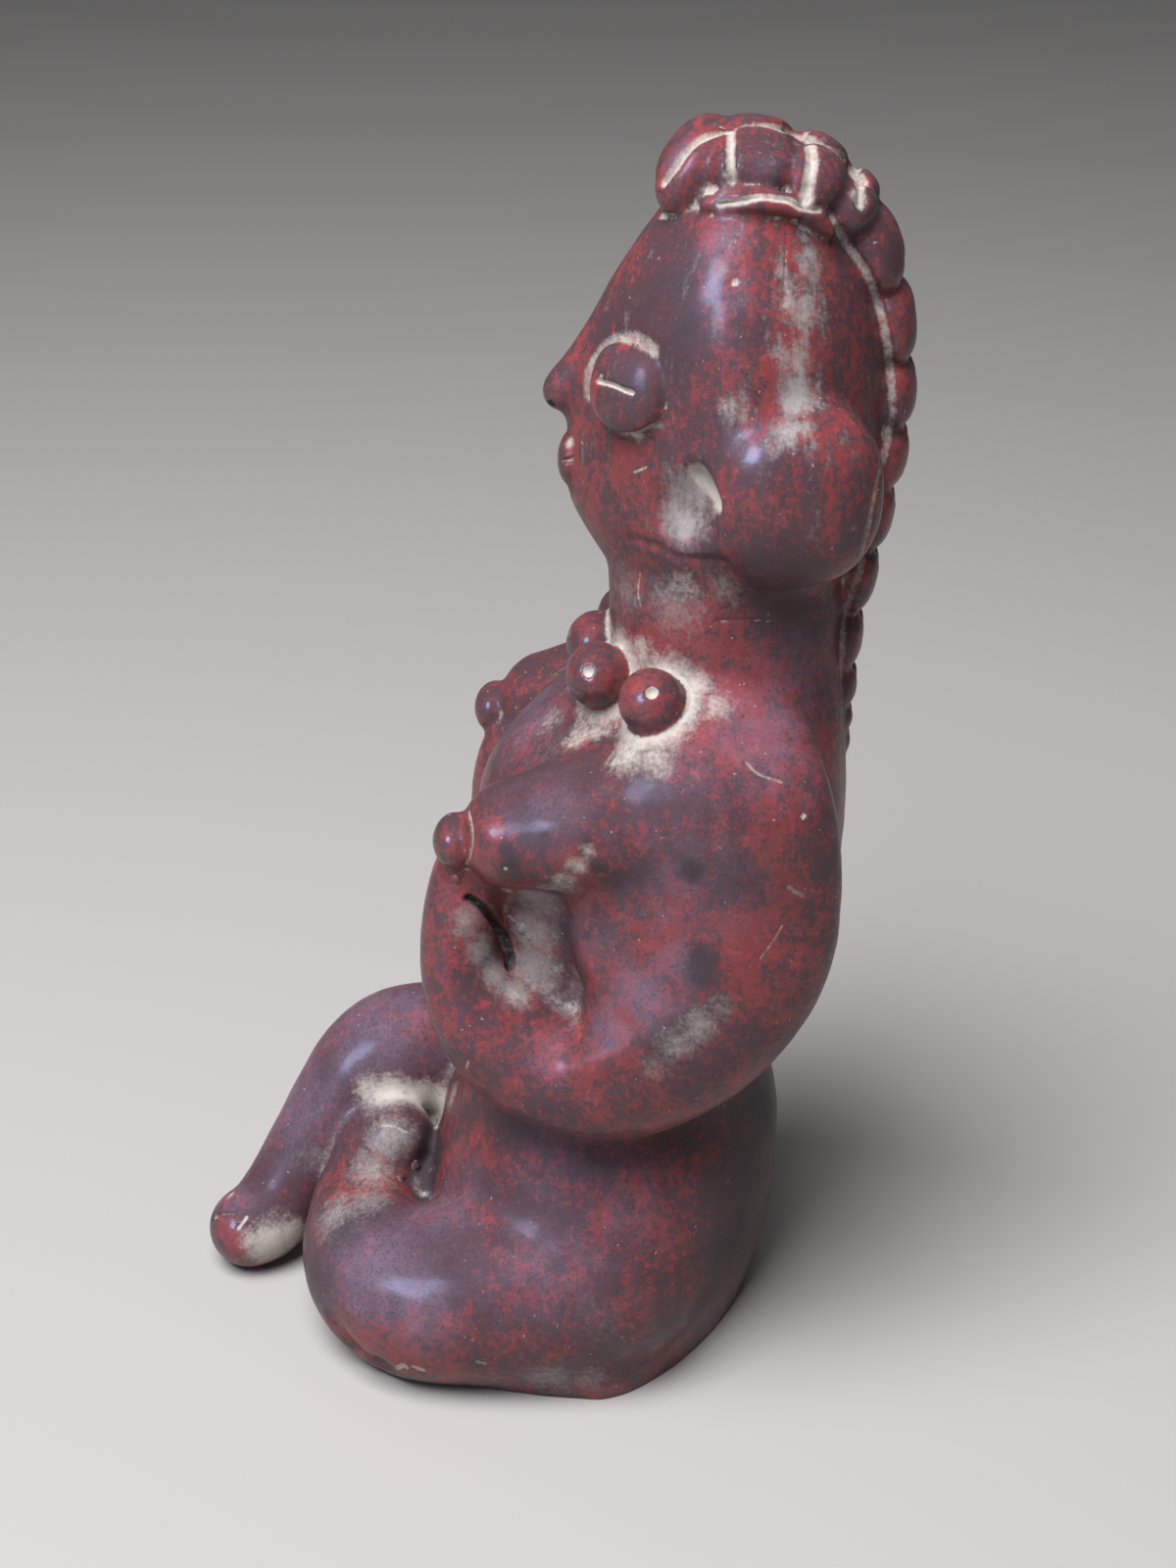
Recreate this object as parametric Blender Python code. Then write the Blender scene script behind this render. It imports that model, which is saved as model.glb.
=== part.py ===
"""A seated female statuette of burnished terracotta, modelled by hand in one piece of clay.

Metres, +Z up. The figure looks along -Y and its left side is +X. The origin is on the flat underside,
below the hips. The body is built the way a modeller does it: thick forms are pressed together, their joins
are smoothed, and then rolled pellets and the plait are laid on top.
"""

import math

import bmesh
import bpy
import numpy as np
from mathutils import Matrix, Vector

# Driving sizes.
FIGURE_HEIGHT = 0.283
BEAD_RADIUS = 0.0072
NIPPLE_RADIUS = 0.0062
EYE_RADIUS = 0.0092
CLAY_GRAIN = 0.0012
TRIANGLE_TARGET = 8600
# How far a first light rub, the thumb's work at the joins and the last rub reach.
FIRST_RUB = 0.0018
JOIN_RUB = 0.008
LAST_RUB = 0.0006

# The tables below give the pose and proportions as shares of the height, in units of 1/283 of it.
DRAWN_HEIGHT = 283.0
UNIT = FIGURE_HEIGHT / DRAWN_HEIGHT

# Level sections of the trunk: z, front y, back y, y of the widest line, half width, front and back fullness.
TRUNK = [
    (-8, -36, 38.5, 6, 49, 3.0, 1.5),
    (4, -38, 40.5, 6, 51, 3.0, 1.5),
    (18, -38, 43.5, 6, 52, 2.8, 1.6),
    (34, -37, 45.5, 7, 50, 2.4, 1.8),
    (48, -34, 45.5, 7, 45, 2.2, 2.0),
    (60, -29.5, 43.5, 7, 39, 2.2, 2.2),
    (70, -27.5, 42.5, 8, 35.5, 2.4, 2.2),
    (82, -27, 46, 9, 34.5, 2.8, 2.2),
    (96, -26.5, 52.5, 12, 36, 2.8, 2.3),
    (108, -25.8, 55.5, 17, 37, 2.7, 2.4),
    (119, -25.2, 57, 20, 38.5, 2.7, 2.4),
    (129, -25, 57.5, 23, 41, 2.5, 2.4),
    (139, -22.5, 57.5, 26, 41, 2.3, 2.4),
    (150, -14.5, 57, 28, 39, 2.1, 2.3),
    (158, -5, 56.5, 29, 33.5, 2.1, 2.2),
    (165, 2.5, 56, 30, 28.5, 2.2, 2.1),
    (172, 4.5, 55.5, 30, 26.5, 2.0, 2.0),
    (182, 4.5, 55.5, 30, 25.5, 2.0, 2.0),
    (200, 4, 55, 30, 25.5, 2.0, 2.0),
]

# The same for the head, from inside the neck to inside the crest.
HEAD = [
    (186, 6, 52, 30, 20, 2.0, 2.0),
    (191, 3, 56, 31, 25.5, 1.8, 2.0),
    (197, -1.2, 58.5, 32, 29.2, 1.6, 2.0),
    (204, -4.4, 60, 33, 31.2, 1.5, 2.0),
    (214, -4.5, 61, 33, 32.5, 1.42, 2.0),
    (222, -4.5, 61.5, 33, 32.5, 1.36, 2.0),
    (230, -4, 61.5, 33, 32, 1.36, 2.0),
    (240, 0.5, 61, 33, 31, 1.5, 2.0),
    (250, 5, 58.5, 33, 28.5, 1.7, 2.0),
    (258, 10.2, 54.8, 33, 25.5, 1.9, 2.0),
    (264, 14.6, 51.5, 33, 22.5, 2.0, 2.0),
    (269, 18.5, 48.5, 33, 19, 2.0, 2.0),
    (274, 22, 45.5, 33, 14, 2.0, 2.0),
    (277, 26, 41, 33, 7, 2.0, 2.0),
]

# Limbs run through stations: x, y, z, and the half thickness across and along the body. A ridge runs along
# the outside of each elbow.
ARM = [
    (26, 30, 160, 11, 20),
    (34, 29, 148, 13, 26),
    (35, 27, 128, 12.7, 29.5),
    (36, 26, 110, 14.6, 28),
    (37, 20, 94, 16.2, 22),
    (37, 8, 83, 16.2, 16.5),
    (36.2, -6, 83, 15, 14.5),
    (34.5, -18.5, 91, 12.5, 12.5),
    (32, -25.4, 102.5, 10.5, 9.3),
    (30, -26, 114, 9.2, 8.2),
    (29, -24.2, 124, 8.2, 8.2),
    (30, -23, 130.5, 6.2, 7),
]
ELBOW_RIDGE = [
    (44.5, 31, 113.5, 5, 5),
    (46.6, 23, 104.5, 6.2, 6.2),
    (46.6, 13, 95.5, 6.4, 6.4),
    (45.6, 2, 88.5, 6, 6),
    (43, -9, 84.5, 5, 5),
]
BREAST = [
    (28, 12, 142, 20, 15),
    (32, 0, 141, 16.5, 14.3),
    (33, -12.8, 138.6, 12.6, 12.2),
]
FOLDED_LEG = [
    (30, 5, 24, 25, 25),
    (34, -15, 20, 23.5, 23.5),
    (35, -33.5, 17.5, 21.5, 21.5),
    (31, -44, 18, 19.5, 19.5),
    (23, -50, 20, 17, 17),
    (13.5, -52.5, 24.5, 14, 14),
    (6.5, -51.5, 30, 11.5, 11.5),
    (3, -49, 35, 10.8, 10.8),
    (3, -46.5, 38.5, 9.2, 9.2),
]
RAISED_LEG = [
    (-26, 8, 34, 22, 22),
    (-26, -14, 41, 19, 20),
    (-23, -32, 45.5, 16.5, 18.5),
    (-19, -46, 48, 15.5, 17.5),
    (-16, -54.5, 45, 14.5, 15.5),
    (-12, -61.5, 37, 13.2, 13.2),
    (-8, -68.5, 26.5, 12, 12),
    (-3, -75, 17, 11, 11),
    (2, -80, 11.5, 10.6, 10.6),
    (4.5, -84, 10, 10.2, 10.2),
]
NOSE = [
    (0, 9, 248, 4.6, 4.6),
    (0, 2.6, 236, 4.8, 4.8),
    (0, -5.6, 225.6, 4.4, 4.4),
]

# The outer middle line of the plait, from the brow over the crown and down the back: y, z, half width,
# half thickness, and x of the parting between its two rows.
PLAIT_LINE = [
    (14.2, 267.5, 13, 8, 2),
    (16, 275, 16, 8, 3),
    (20.5, 279.7, 18.5, 7.5, 4.5),
    (28, 281.3, 20, 6.5, 4.5),
    (38, 280.5, 20.5, 6, 4.5),
    (46, 277.8, 19.5, 6, 4.5),
    (54.2, 271.5, 17, 5.5, 3.5),
    (59.7, 264, 14.5, 5, 2.5),
    (65, 249.5, 12.5, 4.6, 1),
    (67, 236, 11.5, 4.4, 0),
    (67, 220, 11, 4.2, 0),
    (65, 206, 10, 4, 0),
    (62, 190, 9.5, 3.8, 0),
    (59.3, 174, 9, 3.4, 0),
    (58.3, 160, 8, 3, 0),
    (57.8, 144.5, 5, 2.4, 0),
]
# How long each pair of lobes is, how far the lobes lean apart, how much neighbours overlap lengthwise and
# across, and how square they are.
LOBE_LENGTHS = (19.5, 17, 12.5, 9.5, 16, 16, 14, 13.5, 14, 14, 13, 9, 6, 6)
LOBE_LEAN = 0.34
LOBE_OVERLAP = (1.01, 1.02)
LOBE_FULLNESS = 2.5
# The rim under the crest, at the side of the crown.
CREST_RIM = [
    (16.5, 24, 269, 1.6, 1.6),
    (19.6, 32, 270.5, 2.1, 2.1),
    (19.2, 41, 269.5, 2.1, 2.1),
    (16, 48, 264.5, 1.6, 1.6),
]
# Where the beads sit round the neck, x and y, from the figure's left to its right.
BEAD_PLACES = [
    (29.5, 15.2),
    (16.5, 2.9),
    (-0.5, 1.6),
    (-17.5, 7.5),
    (-29, 20),
]
BEAD_LEVEL = 168.5
BEAD_PRESSED = 0.88
NECK_MIDDLE_Y = 30
# The rolled hair over each ear, on the figure's left: middle, and half length, height and thickness.
HAIR_ROLL = (25.5, 43, 214)
HAIR_ROLL_SIZE = (18, 20, 13)
# The left eye disc, the way it faces, and how thick it is for its radius.
EYE_PLACE = (18.2, 9.6, 232.5)
EYE_FACING = (0.79, -0.56, 0.25)
EYE_PRESSED = 0.44
MOUTH_PLACE = (0, -3.5, 211)
MOUTH_SIZE = (6, 5.8, 3)
NIPPLE_PLACE = (33.6, -25.8, 136.6)
NIPPLE_PRESSED = 0.8
# The figure's right breast is a little flatter than its left one.
RIGHT_BREAST_BACK = 1.6
# Its right forearm reaches forward by this share of the left one's reach.
RIGHT_FOREARM_REACH = 0.85
# Where the modeller smoothed the joins most: place, reach, and how thoroughly. The first rows are shoulder,
# waist, armpit, jaw, and under and between the breasts, the last the raised thigh, the left hip and the
# folded knee.
SOFT_BOTH_SIDES = [
    ((36, 32, 156), 22, 1.0),
    ((34, 34, 66), 18, 0.4),
    ((28, 6, 148), 17, 1.0),
    ((30, 30, 192), 16, 0.4),
    ((34, -11, 129), 11, 0.6),
    ((45, 3, 136), 17, 1.0),
    ((14, -16, 140), 20, 0.8),
]
SOFT_PLACES = [
    ((-24, -22, 52), 22, 1.0),
    ((36, 0, 44), 30, 1.0),
    ((46, -20, 8), 22, 1.0),
]
SOFT_ELSEWHERE = 0.1
# Clay pressed into the lap, which holds the crossed legs.
LAP = [
    (-14, -34, 22, 12, 12),
    (-2, -40, 26, 9, 9),
    (8, -38, 24, 9, 9),
]


def clear_scene():
    for item in list(bpy.data.objects):
        bpy.data.objects.remove(item)


def smooth_line(rows, count):
    """Count samples, evenly spaced along a Catmull-Rom curve through the rows."""
    knots = np.array(rows, float)
    padded = np.vstack([2 * knots[0] - knots[1], knots, 2 * knots[-1] - knots[-2]])
    steps = 24
    dense = []
    for i in range(len(knots) - 1):
        a, b, c, d = padded[i : i + 4]
        for t in np.arange(steps) / steps:
            dense.append(
                0.5 * (2 * b + (c - a) * t + (2 * a - 5 * b + 4 * c - d) * t**2 + (3 * b - a - 3 * c + d) * t**3)
            )
    dense.append(knots[-1])
    dense = np.array(dense)
    length = np.concatenate([[0], np.cumsum(np.linalg.norm(np.diff(dense, axis=0), axis=1))])
    wanted = np.linspace(0, length[-1], count)
    return np.column_stack([np.interp(wanted, length, dense[:, k]) for k in range(dense.shape[1])])


def add_loft(bm, rings):
    """Skins closed rings of equal length and fills both ends."""
    loops = [[bm.verts.new(point) for point in ring] for ring in rings]
    faces = [bm.faces.new(loops[0]), bm.faces.new(loops[-1])]
    for low, high in zip(loops, loops[1:]):
        for k in range(len(low)):
            after = (k + 1) % len(low)
            faces.append(bm.faces.new((low[k], low[after], high[after], high[k])))
    bmesh.ops.recalc_face_normals(bm, faces=faces)


def add_level_sections(bm, table, ring_points=64, ring_count=60):
    """Lofts the level sections of the trunk or the head."""
    rings = []
    for z, front, back, wide, half_width, front_power, back_power in smooth_line(table, ring_count):
        ring = []
        for k in range(ring_points):
            turn = math.tau * k / ring_points
            cosine = math.cos(turn)
            sine = math.sin(turn)
            power = front_power if sine < 0 else back_power
            reach = wide - front if sine < 0 else back - wide
            x = half_width * math.copysign(abs(cosine) ** (2 / power), cosine)
            y = wide + reach * math.copysign(abs(sine) ** (2 / power), sine)
            ring.append(Vector((x, y, z)) * UNIT)
        rings.append(ring)
    add_loft(bm, rings)


def add_limb(bm, stations, side=1, ring_points=24, ring_count=36):
    """Lofts a round-ended limb. Side is -1 for the mirror image on the figure's right."""
    line = smooth_line(stations, ring_count)
    line[:, 0] *= side
    centres = line[:, :3]
    heading = np.gradient(centres, axis=0)
    across = Vector((1, 0, 0))
    rings = []
    for i, (centre, forward, sizes) in enumerate(zip(centres, heading, line[:, 3:])):
        forward = Vector(forward).normalized()
        across = (across - across.dot(forward) * forward).normalized()
        along = forward.cross(across)
        ends = {0: -1, ring_count - 1: 1}
        caps = [(0.0, 1.0)]
        if i in ends:
            angles = [math.radians(a) for a in (80, 60, 40, 20)]
            caps = [(ends[i] * math.sin(a), math.cos(a)) for a in angles]
            caps = caps + [(0.0, 1.0)] if i == 0 else [(0.0, 1.0)] + caps[::-1]
        for push, shrink in caps:
            middle = Vector(centre) + forward * push * min(sizes)
            ring = []
            for k in range(ring_points):
                turn = math.tau * k / ring_points
                offset = across * sizes[0] * math.cos(turn) + along * sizes[1] * math.sin(turn)
                ring.append((middle + offset * shrink) * UNIT)
            rings.append(ring)
    add_loft(bm, rings)


def facing(outward):
    """The turn that points a pellet's last radius along outward and its second one up."""
    return Vector(outward).to_track_quat("Z", "Y")


def add_pellet(bm, centre, radii, turn, fullness=2.0):
    """A rolled and pressed pellet of clay, in metres. More fullness than 2 makes it squarer."""
    place = Matrix.LocRotScale(Vector(centre), turn, Vector(radii))
    for vert in bmesh.ops.create_icosphere(bm, subdivisions=3, radius=1)["verts"]:
        size = sum(abs(value) ** fullness for value in vert.co) ** (1 / fullness)
        vert.co = place @ (vert.co / size)


def mesh_from(builders, name):
    bm = bmesh.new()
    for build in builders:
        build(bm)
    mesh = bpy.data.meshes.new(name)
    bm.to_mesh(mesh)
    bm.free()
    return mesh


def fuse(figure, grain):
    """Replaces the overlapping forms by one skin, with faces about one grain across."""
    remesh = figure.modifiers.new("one skin", "REMESH")
    remesh.mode = "VOXEL"
    remesh.voxel_size = grain
    remesh.use_smooth_shade = True
    apply_modifiers(figure)


def apply_modifiers(figure):
    graph = bpy.context.evaluated_depsgraph_get()
    mesh = bpy.data.meshes.new_from_object(figure.evaluated_get(graph))
    figure.modifiers.clear()
    figure.data = mesh


def read_points(mesh):
    points = np.empty(len(mesh.vertices) * 3)
    mesh.vertices.foreach_get("co", points)
    return points.reshape(-1, 3)


def read_normals(mesh):
    normals = np.empty(len(mesh.vertices) * 3, np.float32)
    mesh.vertex_normals.foreach_get("vector", normals)
    return normals.reshape(-1, 3).astype(float)


def write_points(mesh, points):
    mesh.vertices.foreach_set("co", np.asarray(points, np.float32).ravel())
    mesh.update()


def neighbour_mean(points, edges, degree):
    total = np.empty_like(points)
    for k in range(3):
        total[:, k] = np.bincount(edges[:, 0], points[edges[:, 1], k], len(points))
        total[:, k] += np.bincount(edges[:, 1], points[edges[:, 0], k], len(points))
    return total / degree[:, None]


def rub_smooth(figure, reach, grain, fill_only=False, share=None):
    """Rubs the clay as a thumb would, over about the given reach. With fill_only it only fills hollows."""
    mesh = figure.data
    edges = np.empty(len(mesh.edges) * 2, np.int64)
    mesh.edges.foreach_get("vertices", edges)
    edges = edges.reshape(-1, 2)
    degree = np.bincount(edges.ravel(), minlength=len(mesh.vertices)).astype(float)
    strength = 0.5
    for turn in range(max(1, round(2 * (reach / grain) ** 2))):
        points = read_points(mesh)
        move = neighbour_mean(points, edges, degree) - points
        if fill_only:
            normals = read_normals(mesh)
            rise = np.einsum("ij,ij->i", move, normals)
            move = normals * np.maximum(rise, 0)[:, None]
        if share is not None:
            move *= share(points)[:, None]
        write_points(mesh, points + strength * move)


def near(points, centre, radius):
    """1 at a place on the figure, falling to 0 at a radius from it."""
    distance = np.linalg.norm(points - np.array(centre) * UNIT, axis=1) / (radius * UNIT)
    return np.clip(1 - distance, 0, 1) ** 2 * (1 + 2 * np.clip(distance, 0, 1))


def soft_joins(points):
    """How thoroughly the joins are smoothed at each point, 0 to 1."""
    share = np.full(len(points), SOFT_ELSEWHERE)
    for (x, y, z), reach, amount in SOFT_BOTH_SIDES:
        for side in (-1, 1):
            share += near(points, (x * side, y, z), reach) * amount
    for place, reach, amount in SOFT_PLACES:
        share += near(points, place, reach) * amount
    return np.minimum(share, 1)


def mirrored(place, side):
    """A place on the figure's left, or its mirror image on the right."""
    x, y, z = place
    return Vector((x * side, y, z))


def set_back(stations, side):
    """The breast's stations on one side."""
    if side > 0:
        return stations
    return [(x, y + RIGHT_BREAST_BACK, *rest) for x, y, *rest in stations]


def arm_stations(side):
    """The arm's stations on one side. Only the forearm's reach differs."""
    reach = 1 if side > 0 else RIGHT_FOREARM_REACH
    return [(x, y * reach if y < 0 else y, *rest) for x, y, *rest in ARM]


def body_forms(bm):
    add_level_sections(bm, TRUNK)
    add_level_sections(bm, HEAD)
    for side in (-1, 1):
        add_limb(bm, arm_stations(side), side)
        add_limb(bm, ELBOW_RIDGE, side)
        add_limb(bm, set_back(BREAST, side), side)
        roll = mirrored(HAIR_ROLL, side) * UNIT
        add_pellet(bm, roll, Vector(HAIR_ROLL_SIZE) * UNIT, facing((side, 0, 0)), 2.2)
    add_limb(bm, FOLDED_LEG)
    add_limb(bm, RAISED_LEG)
    add_limb(bm, LAP)
    add_limb(bm, NOSE)


def plait_lobes(bm):
    """Two rows of lobes along the plait, in pairs, with a rim at each side of the crown."""
    samples = 400
    line = smooth_line(PLAIT_LINE, samples)
    heading = np.gradient(line[:, :2], axis=0)
    ends = np.concatenate([[0], np.cumsum(LOBE_LENGTHS)]) / sum(LOBE_LENGTHS)
    line_length = np.linalg.norm(heading, axis=1).sum()
    for start, end in zip(ends, ends[1:]):
        place = round((start + end) / 2 * (samples - 1))
        y, z, half_width, half_thick, parting = line[place]
        forward = Vector((0, *heading[place])).normalized()
        for side in (-1, 1):
            outward = Vector((1, 0, 0)).cross(forward) + Vector((LOBE_LEAN * side, 0, 0))
            outward.normalize()
            across = forward.cross(outward)
            turn = Matrix((across, forward, outward)).transposed().to_quaternion()
            centre = Vector(((half_width * side + parting) / 2, y, z)) - outward * half_thick
            half_length = LOBE_OVERLAP[0] * (end - start) * line_length / 2
            reach = (half_width - parting * side) / 2
            sizes = Vector((LOBE_OVERLAP[1] * reach, half_length, half_thick))
            add_pellet(bm, centre * UNIT, sizes * UNIT, turn, LOBE_FULLNESS)
    for side in (-1, 1):
        add_limb(bm, CREST_RIM, side, ring_points=12)


def applied_pellets(bm):
    """Necklace, nipples, eyes and mouth."""
    for x, y in BEAD_PLACES:
        outward = (x, y - NECK_MIDDLE_Y, 4)
        place = Vector((x, y, BEAD_LEVEL)) * UNIT
        add_pellet(bm, place, (BEAD_RADIUS, BEAD_RADIUS, BEAD_RADIUS * BEAD_PRESSED), facing(outward))
    for side in (-1, 1):
        tip = mirrored(set_back([NIPPLE_PLACE], side)[0], side) * UNIT
        nipple = (NIPPLE_RADIUS, NIPPLE_RADIUS, NIPPLE_RADIUS * NIPPLE_PRESSED)
        add_pellet(bm, tip, nipple, facing((0.1 * side, -1, 0)))
        eye = mirrored(EYE_PLACE, side) * UNIT
        sizes = (EYE_RADIUS, EYE_RADIUS, EYE_RADIUS * EYE_PRESSED)
        add_pellet(bm, eye, sizes, facing(mirrored(EYE_FACING, side)), 2.4)
    add_pellet(bm, Vector(MOUTH_PLACE) * UNIT, Vector(MOUTH_SIZE) * UNIT, facing((0, -1, 0)))


def cut_flat(bm, level):
    """Cuts everything below a level away and closes the underside."""
    everything = bm.verts[:] + bm.edges[:] + bm.faces[:]
    cut = bmesh.ops.bisect_plane(
        bm, geom=everything, dist=1e-7, plane_co=(0, 0, level), plane_no=(0, 0, -1), clear_outer=True
    )
    rim = [item for item in cut["geom_cut"] if isinstance(item, bmesh.types.BMEdge)]
    filled = bmesh.ops.holes_fill(bm, edges=rim, sides=0)
    bmesh.ops.triangulate(bm, faces=filled["faces"])


def terracotta():
    material = bpy.data.materials.new("terracotta")
    material.use_nodes = True
    shader = material.node_tree.nodes["Principled BSDF"]
    shader.inputs["Base Color"].default_value = (0.19, 0.055, 0.045, 1)
    shader.inputs["Roughness"].default_value = 0.42
    shader.inputs["Metallic"].default_value = 0
    return material


def build_figure():
    figure = bpy.data.objects.new("statuette", mesh_from([body_forms], "body"))
    bpy.context.scene.collection.objects.link(figure)
    fuse(figure, CLAY_GRAIN)
    rub_smooth(figure, FIRST_RUB, CLAY_GRAIN)
    rub_smooth(figure, JOIN_RUB, CLAY_GRAIN, fill_only=True, share=soft_joins)
    dressed = mesh_from([lambda bm: bm.from_mesh(figure.data), plait_lobes, applied_pellets], "dressed")
    figure.data = dressed
    fuse(figure, CLAY_GRAIN)
    rub_smooth(figure, LAST_RUB, CLAY_GRAIN)
    thin = figure.modifiers.new("fewer faces", "DECIMATE")
    thin.ratio = TRIANGLE_TARGET / (2 * len(figure.data.polygons))
    apply_modifiers(figure)
    bm = bmesh.new()
    bm.from_mesh(figure.data)
    cut_flat(bm, 0)
    bm.to_mesh(figure.data)
    bm.free()
    figure.data.materials.clear()
    figure.data.materials.append(terracotta())
    figure.data.shade_smooth()
    return figure


clear_scene()
build_figure()
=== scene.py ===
"""The finish of a seated terracotta figure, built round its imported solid.

The figure is one hand-modelled piece of clay, burnished red-brown, mottled with dark patches, and dusty in
its creases. Everything is in metres, +Z up. The figure looks along -Y and its left side is +X. Tables of the
pose are in parts of the drawn height, and small marks are placed by where they are seen in the photograph's
frame of 1200 by 1600, then laid on the clay.
"""

import math

import bmesh
import bpy
import numpy as np
from mathutils import Matrix, Vector, noise
from mathutils.bvhtree import BVHTree


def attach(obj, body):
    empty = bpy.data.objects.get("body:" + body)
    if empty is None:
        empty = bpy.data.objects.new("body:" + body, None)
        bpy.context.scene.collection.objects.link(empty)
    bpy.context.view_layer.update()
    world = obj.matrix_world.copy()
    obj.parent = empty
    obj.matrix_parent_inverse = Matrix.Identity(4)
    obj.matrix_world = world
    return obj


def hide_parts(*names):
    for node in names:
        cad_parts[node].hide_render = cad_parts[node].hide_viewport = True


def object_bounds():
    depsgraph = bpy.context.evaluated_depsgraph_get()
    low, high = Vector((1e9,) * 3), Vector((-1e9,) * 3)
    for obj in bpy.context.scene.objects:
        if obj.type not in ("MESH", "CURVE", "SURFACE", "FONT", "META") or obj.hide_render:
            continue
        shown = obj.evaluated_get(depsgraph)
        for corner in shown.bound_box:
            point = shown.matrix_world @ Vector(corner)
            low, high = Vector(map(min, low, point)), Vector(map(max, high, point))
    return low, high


bl_info = {
    "name": "Burnished Terracotta Figure",
    "version": (1, 0, 0),
    "blender": (4, 5, 0),
    "location": "View3D > Sidebar > Figure",
    "description": "Models a seated terracotta figure round its solid, burnishes it and sets a plain stage",
    "category": "Object",
}

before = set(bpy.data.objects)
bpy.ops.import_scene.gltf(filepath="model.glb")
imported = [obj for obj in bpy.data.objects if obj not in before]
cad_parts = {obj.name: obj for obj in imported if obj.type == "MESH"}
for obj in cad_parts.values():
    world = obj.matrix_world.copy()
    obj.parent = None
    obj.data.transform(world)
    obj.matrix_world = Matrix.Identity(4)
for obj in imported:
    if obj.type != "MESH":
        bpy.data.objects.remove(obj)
CAD_LOW, CAD_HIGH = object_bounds()
CAD_NODE = "statuette"

# Parts of the drawn height that the pose tables use, and what one part measures here.
DRAWN_HEIGHT = 282.8
UNIT = (CAD_HIGH.z - CAD_LOW.z) / DRAWN_HEIGHT
MM = 0.001

# The photograph's frame, and the distance of its centre from the lens in pixels.
PHOTO_WIDE = 1200
PHOTO_HIGH = 1600
PHOTO_FOCUS = 2500
# Where a line of sight that misses the figure is stopped, in metres short of its middle.
STOP_SHORT = 0.05
# How far apart the spots of a line are taken, in the photograph's pixels.
PATH_STEP = 3
# How deep below or above the clay a mark on it is still felt, in mm.
CARVED_DEPTH = 7
# The longest way in mm between two spots of one line. A longer one is a leap to clay behind an edge.
LONGEST_STEP = 4
# Stands in for the square of a run's length, in square metres, where a run has no length.
TINY = 1e-12

# Level sections of the trunk: z, front y, back y, y of the widest line, half width, front and back fullness.
TRUNK = [
    (-8, -36, 38.5, 6, 49, 3.0, 1.5),
    (4, -38, 40.5, 6, 51, 3.0, 1.5),
    (18, -38, 43.5, 6, 52, 2.8, 1.6),
    (34, -37, 45.5, 7, 50, 2.4, 1.8),
    (48, -34, 45.5, 7, 45, 2.2, 2.0),
    (60, -29.5, 43.5, 7, 39, 2.2, 2.2),
    (70, -27.5, 42.5, 8, 35.5, 2.4, 2.2),
    (82, -27, 46, 9, 34.5, 2.8, 2.2),
    (96, -26.5, 52.5, 12, 36, 2.8, 2.3),
    (108, -25.8, 55.5, 17, 37, 2.7, 2.4),
    (119, -25.2, 57, 20, 38.5, 2.7, 2.4),
    (129, -25, 57.5, 23, 41, 2.5, 2.4),
    (139, -22.5, 57.5, 26, 41, 2.3, 2.4),
    (150, -14.5, 57, 28, 39, 2.1, 2.3),
    (158, -5, 56.5, 29, 33.5, 2.1, 2.2),
    (165, 2.5, 56, 30, 28.5, 2.2, 2.1),
    (172, 4.5, 55.5, 30, 26.5, 2.0, 2.0),
    (182, 4.5, 55.5, 30, 25.5, 2.0, 2.0),
    (200, 4, 55, 30, 25.5, 2.0, 2.0),
]
# The same for the head, from inside the neck to inside the crest.
HEAD = [
    (186, 6, 52, 30, 20, 2.0, 2.0),
    (191, 3, 56, 31, 25.5, 1.8, 2.0),
    (197, -1.2, 58.5, 32, 29.2, 1.6, 2.0),
    (204, -4.4, 60, 33, 31.2, 1.5, 2.0),
    (214, -4.5, 61, 33, 32.5, 1.42, 2.0),
    (222, -4.5, 61.5, 33, 32.5, 1.36, 2.0),
    (230, -4, 61.5, 33, 32, 1.36, 2.0),
    (240, 0.5, 61, 33, 31, 1.5, 2.0),
    (250, 5, 58.5, 33, 28.5, 1.7, 2.0),
    (258, 10.2, 54.8, 33, 25.5, 1.9, 2.0),
    (264, 14.6, 51.5, 33, 22.5, 2.0, 2.0),
    (269, 18.5, 48.5, 33, 19, 2.0, 2.0),
    (274, 22, 45.5, 33, 14, 2.0, 2.0),
    (277, 26, 41, 33, 7, 2.0, 2.0),
]
# Limbs run through stations: x, y, z, and the half thickness across and along the body.
ARM = [
    (26, 30, 160, 11, 20),
    (34, 29, 148, 13, 26),
    (35, 27, 128, 12.7, 29.5),
    (36, 26, 110, 14.6, 28),
    (37, 20, 94, 16.2, 22),
    (37, 8, 83, 16.2, 16.5),
    (36.2, -6, 83, 15, 14.5),
    (34.5, -18.5, 91, 12.5, 12.5),
    (32, -25.4, 102.5, 10.5, 9.3),
    (30, -26, 114, 9.2, 8.2),
    (29, -24.2, 124, 8.2, 8.2),
    (30, -23, 130.5, 6.2, 7),
]
ELBOW_RIDGE = [
    (44.5, 31, 113.5, 5, 5),
    (46.6, 23, 104.5, 6.2, 6.2),
    (46.6, 13, 95.5, 6.4, 6.4),
    (45.6, 2, 88.5, 6, 6),
    (43, -9, 84.5, 5, 5),
]
BREAST = [
    (28, 12, 142, 20, 15),
    (32, 0, 141, 16.5, 14.3),
    (33, -12.8, 138.6, 12.6, 12.2),
]
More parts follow.
